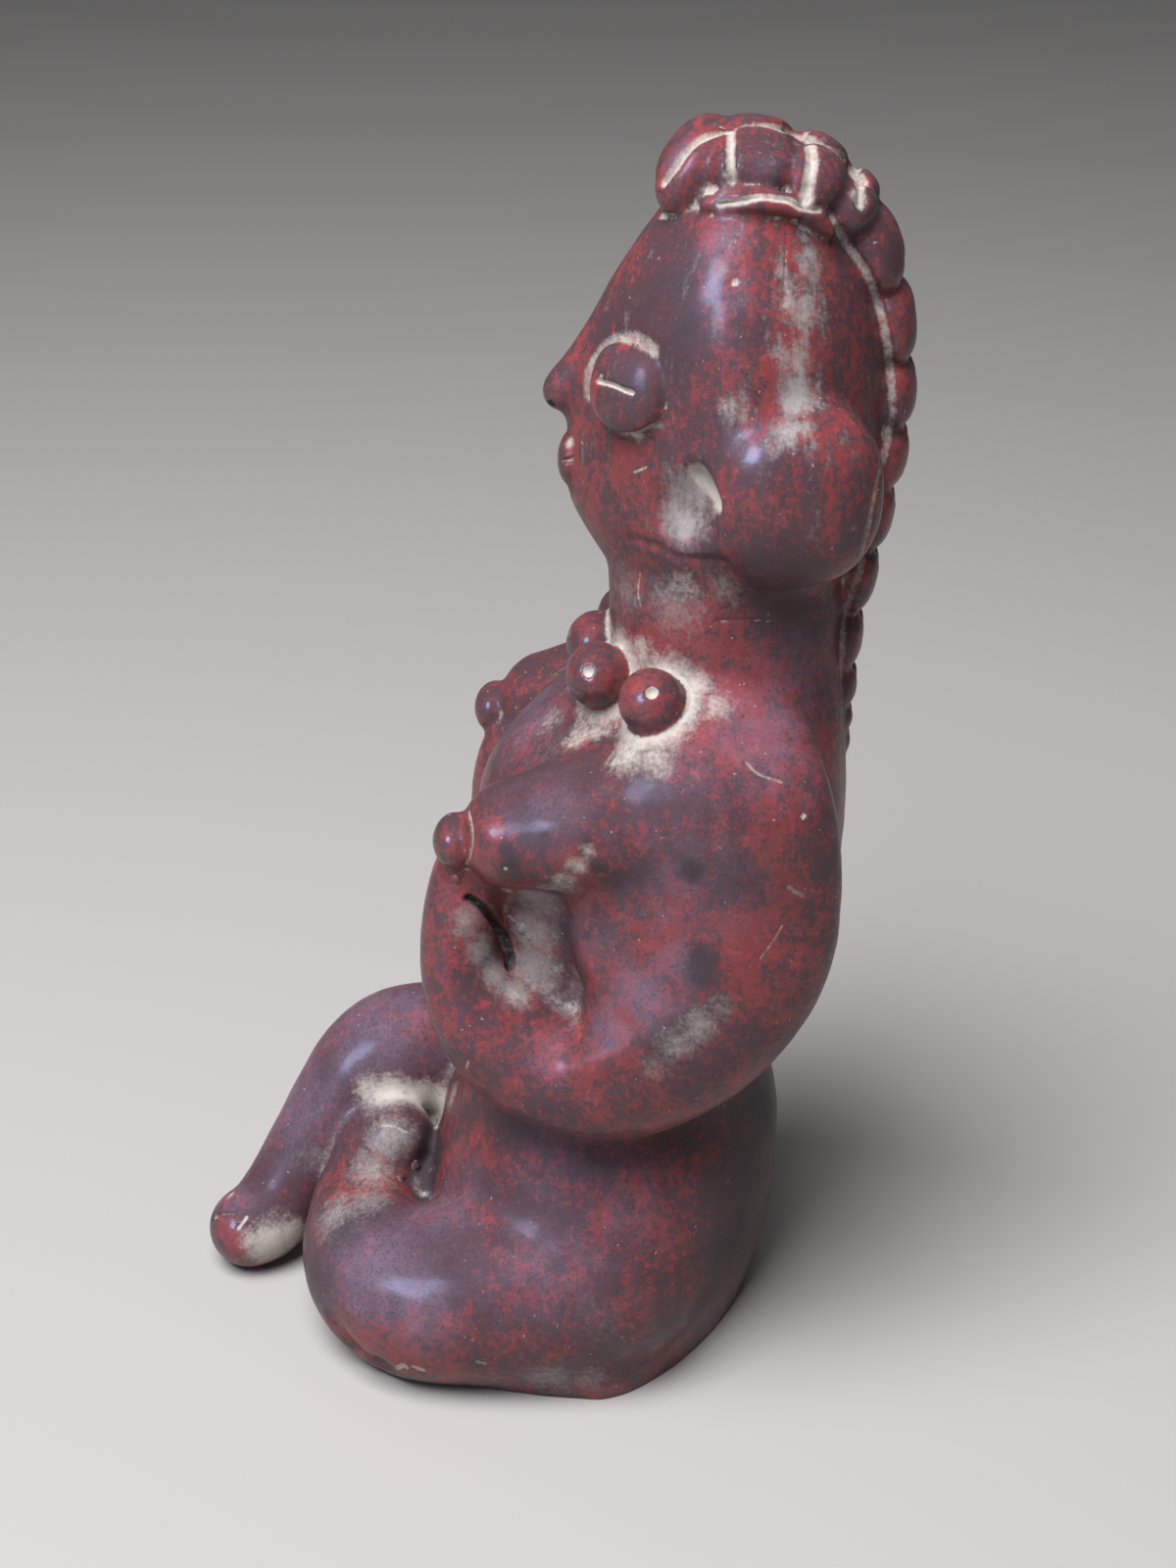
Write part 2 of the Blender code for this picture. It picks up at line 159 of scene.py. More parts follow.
FOLDED_LEG = [
    (30, 5, 24, 25, 25),
    (34, -15, 20, 23.5, 23.5),
    (35, -33.5, 17.5, 21.5, 21.5),
    (31, -44, 18, 19.5, 19.5),
    (23, -50, 20, 17, 17),
    (13.5, -52.5, 24.5, 14, 14),
    (6.5, -51.5, 30, 11.5, 11.5),
    (3, -49, 35, 10.8, 10.8),
    (3, -46.5, 38.5, 9.2, 9.2),
]
RAISED_LEG = [
    (-26, 8, 34, 22, 22),
    (-26, -14, 41, 19, 20),
    (-23, -32, 45.5, 16.5, 18.5),
    (-19, -46, 48, 15.5, 17.5),
    (-16, -54.5, 45, 14.5, 15.5),
    (-12, -61.5, 37, 13.2, 13.2),
    (-8, -68.5, 26.5, 12, 12),
    (-3, -75, 17, 11, 11),
    (2, -80, 11.5, 10.6, 10.6),
    (4.5, -84, 10, 10.2, 10.2),
]
LAP = [
    (-14, -34, 22, 12, 12),
    (-2, -40, 26, 9, 9),
    (8, -38, 24, 9, 9),
]
NOSE = [
    (0, 9, 248, 4.6, 4.6),
    (0, 2.6, 236, 4.8, 4.8),
    (0, -5.6, 225.6, 4.4, 4.4),
]
# The outer middle line of the plait, over the crown and down the back: y, z, half width, half thickness, and
# x of the parting between its two rows.
PLAIT_LINE = [
    (14.2, 267.5, 13, 8, 2),
    (16, 275, 16, 8, 3),
    (20.5, 279.7, 18.5, 7.5, 4.5),
    (28, 281.3, 20, 6.5, 4.5),
    (38, 280.5, 20.5, 6, 4.5),
    (46, 277.8, 19.5, 6, 4.5),
    (54.2, 271.5, 17, 5.5, 3.5),
    (59.7, 264, 14.5, 5, 2.5),
    (65, 249.5, 12.5, 4.6, 1),
    (67, 236, 11.5, 4.4, 0),
    (67, 220, 11, 4.2, 0),
    (65, 206, 10, 4, 0),
    (62, 190, 9.5, 3.8, 0),
    (59.3, 174, 9, 3.4, 0),
    (58.3, 160, 8, 3, 0),
    (57.8, 144.5, 5, 2.4, 0),
]
LOBE_LENGTHS = (19.5, 17, 12.5, 9.5, 16, 16, 14, 13.5, 14, 14, 13, 9, 6, 6)
LOBE_LEAN = 0.34
LOBE_OVERLAP = (1.01, 1.02)
LOBE_FULLNESS = 2.5
PLAIT_SAMPLES = 400
CREST_RIM = [
    (16.5, 24, 269, 1.6, 1.6),
    (19.6, 32, 270.5, 2.1, 2.1),
    (19.2, 41, 269.5, 2.1, 2.1),
    (16, 48, 264.5, 1.6, 1.6),
]
# Beads round the neck, x and y, from the figure's left to its right, and the way each punched hole faces.
BEAD_PLACES = [
    (29.5, 15.2),
    (16.5, 2.9),
    (-0.5, 1.6),
    (-17.5, 7.5),
    (-29, 20),
]
BEAD_LEVEL = 168.5
BEAD_TILT = 4
BEAD_PRESSED = 0.88
# The first holes are where the photograph shows them. The others tilt up a little, and all are this deep.
SEEN_BEAD_HOLES = [(665, 707), (600, 685)]
BEAD_HOLE_TILT = 0.25
BEAD_HOLE_DEPTH = 0.8
NECK_MIDDLE_Y = 30
HAIR_ROLL = (25.5, 43, 214)
HAIR_ROLL_SIZE = (18, 20, 13)
HAIR_ROLL_FULLNESS = 2.2
EYE_PLACE = (18.2, 9.6, 232.5)
EYE_FACING = (0.79, -0.56, 0.25)
EYE_PRESSED = 0.44
EYE_FULLNESS = 2.4
MOUTH_PLACE = (0, -3.5, 211)
MOUTH_SIZE = (6, 5.8, 3)
NIPPLE_PLACE = (33.6, -25.8, 136.6)
NIPPLE_FACING = (0.1, -1, 0)
NIPPLE_PRESSED = 0.8
# The figure's right side is the left one mirrored, apart from these.
RIGHT_BREAST_BACK = 1.6
RIGHT_FOREARM_REACH = 0.85
# Where the modeller smoothed the joins most: place, reach, and how thoroughly.
SOFT_BOTH_SIDES = [
    ((36, 32, 156), 22, 1.0),
    ((34, 34, 66), 18, 0.4),
    ((28, 6, 148), 17, 1.0),
    ((30, 30, 192), 16, 0.4),
    ((34, -11, 129), 11, 0.6),
    ((45, 3, 136), 17, 1.0),
    ((14, -16, 140), 20, 0.8),
]
SOFT_PLACES = [
    ((-24, -22, 52), 22, 1.0),
    ((36, 0, 44), 30, 1.0),
    ((46, -20, 8), 22, 1.0),
]
SOFT_ELSEWHERE = 0.1

# The ends of a limb are rounded by rings at these angles in degrees, from the tip. Pellets are round to this
# many splits.
CAP_ANGLES = (80, 60, 40, 20)
PELLET_SPLITS = 5

# Marks that the far side has too say so.
BOTH = "both sides"
# Lines pressed or scratched into the clay: where each is seen, its half width and depth in mm, and how much
# pale dust it holds. One that holds no dust is painted dark along it, as shade in its depth.
PRESSED_LINES = [
    ([(610, 389), (625, 393), (636, 398), (645, 401)], 0.5, 0.9, 1.0, BOTH),
    ([(613, 384), (611, 389)], 0.45, 0.6, 0.9),
    (
        [(599, 404), (600, 382), (609, 363), (622, 350), (638, 345), (655, 348), (668, 358)],
        1.5, 0.3, 0.55, BOTH,
    ),
    ([(668, 434), (652, 442), (634, 443)], 0.7, 0.5, 0.6, BOTH),
    ([(676, 186), (686, 173), (709, 145), (741, 132), (775, 127), (806, 131)], 1.0, 1.2, 0.7),
    ([(806, 131), (822, 140), (842, 149), (863, 160), (874, 174), (884, 186)], 1.0, 1.2, 0.66),
    ([(746, 132), (745, 158), (746, 186)], 0.9, 1.1, 0.72, BOTH),
    ([(826, 141), (829, 163), (826, 182), (821, 205)], 1.2, 1.1, 0.74, BOTH),
    ([(872, 170), (879, 190), (879, 208)], 1.1, 1.0, 0.66, BOTH),
    ([(733, 209), (758, 205), (777, 200), (804, 204), (819, 212), (838, 213)], 0.8, 1.0, 0.72, BOTH),
    ([(674, 220), (687, 221)], 0.7, 0.8, 0.7, BOTH),
    ([(478, 828), (482, 845), (482, 862), (476, 882)], 0.5, 0.4, 0.55, BOTH),
    ([(603, 866), (594, 878), (584, 892), (576, 906)], 1.2, 0.4, 0.3, BOTH),
    ([(846, 218), (863, 248), (882, 275), (893, 300), (901, 328), (907, 364), (911, 418)], 0.9, 0.5, 0.56),
    ([(911, 418), (905, 452), (896, 490), (888, 530), (880, 570), (872, 600)], 0.9, 0.4, 0.5),
    ([(872, 600), (862, 632), (859, 690), (862, 746)], 0.8, 0.3, 0.5),
    ([(803, 241), (802, 266), (801, 292), (800, 313)], 0.3, 0.3, 0.25),
    ([(641, 549), (658, 554), (675, 559), (691, 569), (709, 573), (740, 574)], 1.1, 0.4, 0.02, BOTH),
    ([(710, 487), (717, 499), (724, 513)], 2.4, 2.6, 1.0, BOTH),
    ([(653, 584), (651, 604), (654, 618)], 0.3, 0.2, 0.6),
    ([(729, 635), (760, 633), (790, 635)], 0.3, 0.3, 0.3),
    ([(696, 690), (704, 700), (706, 712), (703, 724), (696, 733)], 0.35, 0.35, 0.4),
    ([(635, 664), (641, 674), (644, 688)], 0.35, 0.35, 0.4),
    ([(478, 917), (488, 923), (500, 934), (512, 954), (519, 972), (520, 986)], 0.8, 2.4, 0.0, BOTH),
    ([(389, 1149), (402, 1149), (415, 1156)], 0.35, 0.3, 0.55),
    ([(404, 1397), (411, 1393), (415, 1396)], 0.7, 0.5, 0.8),
    ([(423, 1395), (431, 1398)], 0.7, 0.5, 0.8),
    ([(487, 1390), (494, 1392)], 0.5, 0.4, 0.6),
    ([(216, 1242), (226, 1238), (238, 1238)], 0.7, 0.9, 0.2),
    ([(243, 1254), (252, 1242)], 0.35, 0.3, 0.9),
    ([(647, 482), (659, 477)], 0.3, 0.2, 0.7),
    ([(575, 470), (583, 469)], 0.5, 0.8, 0.1),
    ([(761, 777), (768, 785), (779, 792), (798, 798)], 0.4, 0.3, 0.5),
    ([(805, 905), (812, 911), (819, 914)], 0.6, 0.3, 0.5),
    ([(798, 945), (788, 962), (776, 978)], 0.3, 0.15, 0.45),
    ([(478, 1083), (476, 1090)], 0.3, 0.2, 0.6),
]
# Small round pits: where, radius and depth in mm, and dust. One with no dust is painted dark inside, as
# shade.
PITS = [
    ((562, 413), 1.1, 1.2, 0.0, BOTH),
    ((750, 288), 0.9, 0.3, 0.7),
    ((820, 833), 0.7, 0.3, 1.0),
    ((516, 886), 0.6, 0.3, 0.9),
]
# Broad thumbed hollows: where, radius and depth in mm.
HOLLOWS = [
    ((698, 520), 11, 3.6, BOTH),
    ((722, 585), 8, 1.2, BOTH),
    ((342, 1354), 6, 1.2),
    ((360, 1376), 6, 1.9),
    ((386, 1393), 6, 2.0),
]
# Crumbs of clay left on the surface: where, and radius in mm.
CRUMBS = [
    ((533, 948), 1.2),
    ((467, 896), 1.2),
    ((462, 889), 1.0),
    ((540, 956), 0.7),
    ((520, 938), 0.8),
    ((425, 1190), 1.1),
    ((409, 1201), 1.0),
    ((352, 1162), 0.9),
    ((346, 1172), 0.7),
]
# Chips out of the edge: where, radius and depth in mm. Fresh chips show pale clay.
CHIPS = [
    ((476, 1414), 1.4, 0.6),
    ((234, 1218), 1.6, 0.6),
    ((217, 1241), 1.3, 0.8),
]
# Soft patches by layer: pale dust, beige-grey film, dark clay that is partly smoke-darkened and partly
# painted shade, painted sheen in a lilac tint, and rubbed red clay. Each is where it is seen, its reach in mm
# and its amount. Those under "both" have a match on the far side.
PATCHES = {
    "dust": {
        "both": [
            (640, 768, 11, 0.7), (670, 775, 10, 0.6), (612, 640, 7, 0.7), (655, 662, 7, 0.7),
            (706, 700, 9, 0.75), (730, 720, 9, 0.55), (600, 868, 4, 0.55), (588, 884, 5, 0.7),
            (574, 898, 6, 0.65), (556, 906, 6, 0.5), (566, 985, 4, 0.5), (528, 1018, 6, 0.4),
            (745, 180, 3, 0.8), (823, 204, 4, 0.8), (878, 200, 4, 0.8),
        ],
        "left": [
            (590, 752, 9, 0.6), (560, 735, 10, 0.45), (612, 742, 8, 0.6), (582, 452, 2.6, 0.8),
            (648, 444, 4, 0.8), (670, 434, 3, 0.6), (742, 415, 4, 0.5), (697, 596, 8, 0.5),
            (465, 892, 2.5, 0.4), (376, 1112, 8, 0.7), (400, 1116, 9, 0.9), (425, 1122, 10, 1.0),
            (448, 1126, 10, 1.0), (462, 1118, 8, 0.6), (275, 1272, 11, 1.0), (256, 1266, 7, 0.7),
            (298, 1262, 9, 0.9), (280, 1280, 6, 0.7), (234, 1220, 3, 0.6),
        ],
    },
    "film": {
        "both": [
            (698, 505, 11, 1.0), (692, 532, 11, 0.85), (702, 558, 8, 0.4), (690, 488, 7, 0.6),
            (545, 915, 13, 0.9), (545, 950, 12, 0.9), (545, 985, 12, 0.9), (575, 905, 8, 0.7),
            (555, 1000, 7, 0.8), (478, 940, 8, 0.7), (492, 968, 8, 0.8), (506, 992, 8, 0.85),
            (526, 1012, 8, 0.9), (560, 770, 14, 0.3),
        ],
        "left": [
            (820, 270, 10, 0.6), (815, 320, 10, 0.65), (812, 365, 10, 0.7), (810, 405, 10, 0.85),
            (808, 440, 9, 0.75), (640, 600, 12, 0.5), (690, 615, 14, 0.6), (740, 600, 10, 0.5),
            (735, 272, 4, 0.4), (745, 416, 8, 0.6), (735, 1028, 7, 0.5), (712, 1046, 8, 0.8),
            (690, 1066, 8, 0.75), (668, 1088, 7, 0.5), (395, 1120, 12, 0.9), (440, 1125, 12, 1.0),
            (398, 1162, 12, 0.8), (380, 1195, 12, 0.7), (345, 1240, 14, 0.65), (375, 1225, 12, 0.6),
            (285, 1262, 12, 0.8), (320, 1180, 10, 0.4), (560, 1405, 12, 0.75), (600, 1405, 10, 0.5),
            (620, 1350, 14, 0.25), (700, 600, 12, 0.4), (740, 235, 9, 0.2),
        ],
    },
    # Painted shade as well as darker clay: the patches under the arm, at the back of the hip and waist, under
    # the hair roll and jaw, and in the gap between the legs stand for shade.
    "dark": {
        "both": [
            (530, 790, 13, 0.45), (580, 800, 15, 0.45), (645, 398, 11, 0.7), (540, 842, 9, 0.7),
            (655, 800, 9, 0.5), (790, 575, 16, 0.6), (720, 560, 9, 0.4), (716, 477, 3, 1.0),
        ],
        "left": [
            (706, 888, 5.5, 1.2), (716, 978, 5.5, 1.2), (712, 992, 6.5, 1.2), (518, 866, 3.2, 1.2),
            (521, 880, 3.2, 1.2), (555, 851, 2.4, 1.0), (610, 885, 3, 0.8), (360, 1060, 26, 0.5),
            (560, 1240, 30, 0.4), (450, 1270, 24, 0.5), (620, 1300, 20, 0.4), (435, 1183, 5, 1.6),
            (430, 1194, 4, 1.4), (810, 1130, 26, 0.95), (800, 1290, 26, 0.9), (560, 1125, 14, 0.5),
            (640, 1110, 14, 0.45), (700, 1090, 14, 0.4), (480, 1020, 10, 0.5), (620, 1200, 9, 0.5),
            (520, 1265, 8, 0.5), (690, 820, 10, 0.4), (740, 900, 12, 0.5), (640, 905, 9, 0.5),
            (690, 245, 9, 0.7), (688, 285, 11, 0.8), (700, 335, 9, 0.8), (683, 372, 8, 0.6),
            (662, 310, 8, 0.5), (440, 1162, 6, 1.4), (446, 1182, 7, 1.4), (438, 1205, 6, 1.2),
            (434, 1225, 5, 0.9), (350, 1255, 16, 0.8), (322, 1300, 14, 0.8), (385, 1240, 14, 0.7),
            (760, 1200, 30, 0.8), (740, 1290, 28, 0.6), (700, 1150, 20, 0.5), (800, 600, 20, 0.6),
            (640, 540, 10, 0.3), (330, 1100, 24, 0.5), (390, 1040, 22, 0.5), (300, 1180, 20, 0.5),
            (400, 1290, 24, 0.45), (340, 1300, 18, 0.4), (464, 1330, 6, 0.6), (570, 1290, 5, 0.7),
            (465, 1304, 4, 0.7), (540, 1180, 20, 0.3), (560, 700, 12, 0.5), (850, 860, 12, 0.4),
        ],
    },
    # Painted sheen: a lilac tint that stands in for the bluish window light's reflection on upward-facing
    # clay, on the head, crest, bun, arm, shoulder and legs.
    "painted_sheen": {
        "both": [
            (735, 205, 7, 0.9), (738, 250, 10, 0.8), (745, 300, 12, 0.5), (765, 455, 9, 0.7),
            (690, 160, 9, 0.6), (790, 170, 8, 0.6), (540, 740, 18, 0.7), (620, 1045, 12, 0.8),
            (655, 1015, 14, 1.0), (690, 985, 12, 0.8), (560, 1075, 12, 0.5),
        ],
        "left": [
            (560, 820, 20, 0.5), (700, 900, 30, 0.6), (780, 750, 28, 0.7), (810, 690, 22, 0.6),
            (700, 790, 22, 0.5), (600, 960, 14, 0.5), (450, 1240, 24, 0.7), (380, 1290, 26, 1.0),
            (430, 1340, 18, 0.8), (560, 1300, 28, 0.6), (300, 1120, 30, 0.8), (380, 1040, 30, 0.9),
            (240, 1225, 10, 0.8), (640, 1230, 24, 0.5),
        ],
    },
    "red": {
        "left": [
            (345, 1355, 9, 1.0), (372, 1375, 9, 1.0), (410, 1388, 9, 1.0), (455, 1396, 9, 1.0),
            (500, 1402, 8, 0.8), (240, 1272, 7, 1.0), (265, 1290, 6, 1.0), (228, 1255, 6, 0.8),
            (500, 900, 8, 0.7), (485, 880, 7, 0.8), (640, 465, 9, 0.7), (850, 300, 18, 0.4),
            (860, 460, 14, 0.5), (800, 540, 16, 0.5), (640, 1130, 20, 0.5), (440, 1060, 10, 0.7),
            (620, 1420, 6, 0.6), (620, 1320, 18, 0.3), (760, 720, 24, 0.5), (720, 640, 14, 0.4),
        ],
    },
}


# Faces are split this far in mm past a fine mark's edge, which is its half width or its radius times the next
# two.
SPLIT_MARGIN = 0.6
LINE_EDGE = 2
ROUND_EDGE = 1.4
# The hand-worked skin: the size in mm of its waves and how high they stand, and where they start.
WAVES = [(21.0, 0.32), (8.0, 0.13), (3.2, 0.045)]
WAVES_START = (7.3, 1.9)
# The rim that a pressed line pushes up: its height as a share of the depth, and in half widths of the line
# how far out it is and how wide.
RIM_HEIGHT = 0.05
RIM_PLACE = 1.9
RIM_WIDTH = 0.7
# How steep a pit's wall is and how flat its floor, how high and how round a crumb is, how far a chip reaches,
# and in radii where a hollow starts to rise and ends.
PIT_WALL = 2.4
PIT_FLOOR = 0.8
CRUMB_HEIGHT = 0.75
CRUMB_ROUND = 0.7
CHIP_REACH = 1.25
HOLLOW_SLOPE = (0.1, 1.0)
# How wide in mm a crease and a hollow are taken to be, and how deep in mm they start to have each effect and
# have it in full.
CREASE_REACH = 1.2
HOLLOW_REACH = 5
DUSTY_CREASE = (0.05, 0.2)
FILMED_HOLLOW = (0.3, 1.2)
# A hollow this deep gets painted shade.
SHADED_HOLLOW = (1.1, 2.4)
BURNISHED_CROWN = (0.2, 1.4)
# How much dust or film a crease, a hollow, the clay round a bead and a chip hold at most.
CREASE_DUST = 0.7
HOLLOW_FILM = 0.45
HALO_DUST = 0.85
CHIP_DUST = 0.7
# Clay this dark and darker, smoke-darkened or painted shade, lets no dust or film show.
CLEAN_DARK = (0.6, 0.95)
# In half widths of a line or radii of a pit or chip, where its dust, its clean rim and its painted shade
# fade.
LINE_DUST = (0.5, 1.8)
LINE_CLEAN = (0.6, 1.8)
LINE_SHADE = (0.5, 1.5)
PIT_FILL = (0.75, 1.15)
CHIP_FILL = (0.5, 1.1)
# Radii of a bead where its halo of dust ends, over how many it fades, and where its own clay is clean.
HALO_END = 2.0
HALO_FADE = 0.9
BEAD_CLEAN = (0.98, 1.1)
# Radii of the eye disc between which its clean top ends, and how far in metres the top is from its middle at
# most.
EYE_CLEAN = (0.9, 0.99)
EYE_TOP = 0.01
# The clouds of noise in the burnished clay: size of the blotches in mm, detail, roughness and twist.
CLOUDS = {
    "drift": (14, 2, 0.5, 0),
    "region": (4.2, 4, 0.62, 0),
    "patch": (0.95, 6, 0.74, 0.15),
    "fleck": (0.4, 3, 0.65, 0),
    "grit": (0.15, 1, 0.5, 0),
    "dust": (0.9, 5, 0.72, 0),
    "streak": (1.6, 3, 0.6, 0),
    "bright": (1.3, 4, 0.66, 0),
    "haze": (2.2, 5, 0.68, 0),
    "pepper": (0.34, 2, 0.6, 0),
    "stroke": (0.55, 2, 0.6, 0),
    "specks": (0.6, 1, 0.5, 0),
    "gloss": (4.5, 3, 0.5, 0),
}
# Streaks run down the figure, and strokes of the burnishing tool run aslant.
STREAK_STRETCH = (1.0, 1.0, 0.13)
STROKE_TURN = (0.5, 0.3, 0.9)
STROKE_STRETCH = (0.12, 1.6, 1.6)
# Where each layer of the finish sets in and where it is full. The head's is a height in mm.
EDGES = {
    "head": (195, 215),
    "mottle": (0.41, 0.55),
    "bright": (0.5, 0.72),
    "painted_sheen": (0.0, 1.0),
    "pepper": (0.6, 0.68),
    "soot_and_shade": (0.25, 1.05),
    "film": (0.12, 1.0),
    "dust": (0.22, 0.9),
    "specks": (0.76, 0.79),
}
# How far each layer, where it is full, hides the clay below it.
COVER = {
    "dark": 0.9,
    "bright": 0.5,
    "painted_sheen": 0.5,
    "pepper": 0.55,
    "soot_and_shade": 0.72,
    "film": 0.8,
    "dust": 0.9,
    "specks": 0.4,
}
# How rough the clean burnish is, and how high in mm the grain stands on it.
ROUGHNESS = 0.47
SKIN_RELIEF = 0.16
# The lights: place, size in metres and colour. The window only shines on the burnish, and the light above
# only lights the clay.
WINDOW = ((0.85, -0.82, 0.7), 0.4, (0.5, 0.62, 1.0))
LIGHT_ABOVE = ((0.45, -0.28, 1.2), 0.8, (0.95, 0.96, 1.0))
SKY_COLOUR = (0.93, 0.96, 1.0)
FLOOR_ROUGHNESS = 0.7
# The camera's sensor in mm, and how near in metres it sees.
SENSOR_WIDTH = 36
NEAREST_SEEN = 0.01


def smooth_line(rows, count):
    """Count samples, evenly spaced along a Catmull-Rom curve through the rows."""
    knots = np.array(rows, float)
    padded = np.vstack([2 * knots[0] - knots[1], knots, 2 * knots[-1] - knots[-2]])
    steps = 24
    dense = []
    for i in range(len(knots) - 1):
        a, b, c, d = padded[i : i + 4]
        for t in np.arange(steps) / steps:
            bend = (2 * a - 5 * b + 4 * c - d) * t**2
            dense.append(0.5 * (2 * b + (c - a) * t + bend + (3 * b - a - 3 * c + d) * t**3))
    dense.append(knots[-1])
    dense = np.array(dense)
    length = np.concatenate([[0], np.cumsum(np.linalg.norm(np.diff(dense, axis=0), axis=1))])
    wanted = np.linspace(0, length[-1], count)
    return np.column_stack([np.interp(wanted, length, dense[:, k]) for k in range(dense.shape[1])])


def add_loft(bm, rings):
    """Skins closed rings of equal length and fills both ends."""
    loops = [[bm.verts.new(point) for point in ring] for ring in rings]
    faces = [bm.faces.new(loops[0]), bm.faces.new(loops[-1])]
    for low, high in zip(loops, loops[1:]):
        for k in range(len(low)):
            after = (k + 1) % len(low)
            faces.append(bm.faces.new((low[k], low[after], high[after], high[k])))
    bmesh.ops.recalc_face_normals(bm, faces=faces)


def add_level_sections(bm, table, ring_points=96, ring_count=110):
    """Lofts the level sections of the trunk or the head."""
    rings = []
    for z, front, back, wide, half_width, front_power, back_power in smooth_line(table, ring_count):
        ring = []
        for k in range(ring_points):
            turn = math.tau * k / ring_points
            cosine = math.cos(turn)
            sine = math.sin(turn)
            power = front_power if sine < 0 else back_power
            reach = wide - front if sine < 0 else back - wide
            x = half_width * math.copysign(abs(cosine) ** (2 / power), cosine)
            y = wide + reach * math.copysign(abs(sine) ** (2 / power), sine)
            ring.append(Vector((x, y, z)) * UNIT)
        rings.append(ring)
    add_loft(bm, rings)


def add_limb(bm, stations, side=1, ring_points=40, ring_count=64):
    """Lofts a round-ended limb. Side is -1 for the mirror image on the figure's right."""
    line = smooth_line(stations, ring_count)
    line[:, 0] *= side
    centres = line[:, :3]
    heading = np.gradient(centres, axis=0)
    across = Vector((1, 0, 0))
    rings = []
    for i, (centre, forward, sizes) in enumerate(zip(centres, heading, line[:, 3:])):
        forward = Vector(forward).normalized()
        across = (across - across.dot(forward) * forward).normalized()
        along = forward.cross(across)
        ends = {0: -1, ring_count - 1: 1}
        caps = [(0.0, 1.0)]
        if i in ends:
            angles = [math.radians(a) for a in CAP_ANGLES]
            caps = [(ends[i] * math.sin(a), math.cos(a)) for a in angles]
            caps = caps + [(0.0, 1.0)] if i == 0 else [(0.0, 1.0)] + caps[::-1]
        for push, shrink in caps:
            middle = Vector(centre) + forward * push * min(sizes)
            ring = []
            for k in range(ring_points):
                turn = math.tau * k / ring_points
                offset = across * sizes[0] * math.cos(turn) + along * sizes[1] * math.sin(turn)
                ring.append((middle + offset * shrink) * UNIT)
            rings.append(ring)
    add_loft(bm, rings)


def facing(outward):
    """The turn that points a pellet's last radius along outward and its second one up."""
    return Vector(outward).to_track_quat("Z", "Y")


def add_pellet(bm, centre, radii, turn, fullness=2.0):
    """A rolled and pressed pellet of clay, in metres. More fullness than 2 makes it squarer."""
    place = Matrix.LocRotScale(Vector(centre), turn, Vector(radii))
    for vert in bmesh.ops.create_icosphere(bm, subdivisions=PELLET_SPLITS, radius=1)["verts"]:
        size = sum(abs(value) ** fullness for value in vert.co) ** (1 / fullness)
        vert.co = place @ (vert.co / size)


def mesh_from(builders, name):
    bm = bmesh.new()
    for build in builders:
        build(bm)
    mesh = bpy.data.meshes.new(name)
    bm.to_mesh(mesh)
    bm.free()
    return mesh


def put_in_scene(context, name, data):
    """Adds an object with the given mesh, light or camera."""
    made = bpy.data.objects.new(name, data)
    context.scene.collection.objects.link(made)
    return made


def apply_modifiers(figure):
    graph = bpy.context.evaluated_depsgraph_get()
    mesh = bpy.data.meshes.new_from_object(figure.evaluated_get(graph))
    figure.modifiers.clear()
    figure.data = mesh


def fuse(figure, grain):
    """Replaces the overlapping forms by one skin, with faces about one grain across."""
    remesh = figure.modifiers.new("one skin", "REMESH")
    remesh.mode = "VOXEL"
    remesh.voxel_size = grain
    remesh.use_smooth_shade = True
    apply_modifiers(figure)


def read_points(mesh):
    points = np.empty(len(mesh.vertices) * 3)
    mesh.vertices.foreach_get("co", points)
    return points.reshape(-1, 3)


def read_normals(mesh):
    normals = np.empty(len(mesh.vertices) * 3, np.float32)
    mesh.vertex_normals.foreach_get("vector", normals)
    return normals.reshape(-1, 3).astype(float)


def write_points(mesh, points):
    mesh.vertices.foreach_set("co", np.asarray(points, np.float32).ravel())
    mesh.update()


def read_edges(mesh):
    edges = np.empty(len(mesh.edges) * 2, np.int64)
    mesh.edges.foreach_get("vertices", edges)
    edges = edges.reshape(-1, 2)
    degree = np.bincount(edges.ravel(), minlength=len(mesh.vertices)).astype(float)
    return edges, np.maximum(degree, 1)


def neighbour_mean(points, edges, degree):
    total = np.empty_like(points)
    for k in range(points.shape[1]):
        total[:, k] = np.bincount(edges[:, 0], points[edges[:, 1], k], len(points))
        total[:, k] += np.bincount(edges[:, 1], points[edges[:, 0], k], len(points))
    return total / degree[:, None]


def rub_smooth(figure, reach, grain, fill_only=False, share=None):
    """Rubs the clay as a thumb would, over about the given reach. With fill_only it only fills hollows."""
    mesh = figure.data
    edges, degree = read_edges(mesh)
    points = read_points(mesh)
    amount = None if share is None else share(points)[:, None]
    for turn in range(max(1, round(2 * (reach / grain) ** 2))):
        move = 0.5 * (neighbour_mean(points, edges, degree) - points)
        if fill_only:
            normals = read_normals(mesh)
            rise = np.einsum("ij,ij->i", move, normals)
            move = normals * np.maximum(rise, 0)[:, None]
        if amount is not None:
            move = move * amount
        points = points + move
        write_points(mesh, points)


def near(points, centre, radius):
    """1 at a place on the figure, falling to 0 at a radius from it, both in metres."""
    distance = np.linalg.norm(points - np.array(centre), axis=1) / radius
    return np.clip(1 - distance, 0, 1) ** 2 * (1 + 2 * np.clip(distance, 0, 1))


def soft_joins(points):
    """How thoroughly the joins are smoothed at each point, 0 to 1."""
    share = np.full(len(points), SOFT_ELSEWHERE)
    for (x, y, z), reach, amount in SOFT_BOTH_SIDES:
        for side in (-1, 1):
            share += near(points, np.array((x * side, y, z)) * UNIT, reach * UNIT) * amount
    for place, reach, amount in SOFT_PLACES:
        share += near(points, np.array(place) * UNIT, reach * UNIT) * amount
    return np.minimum(share, 1)


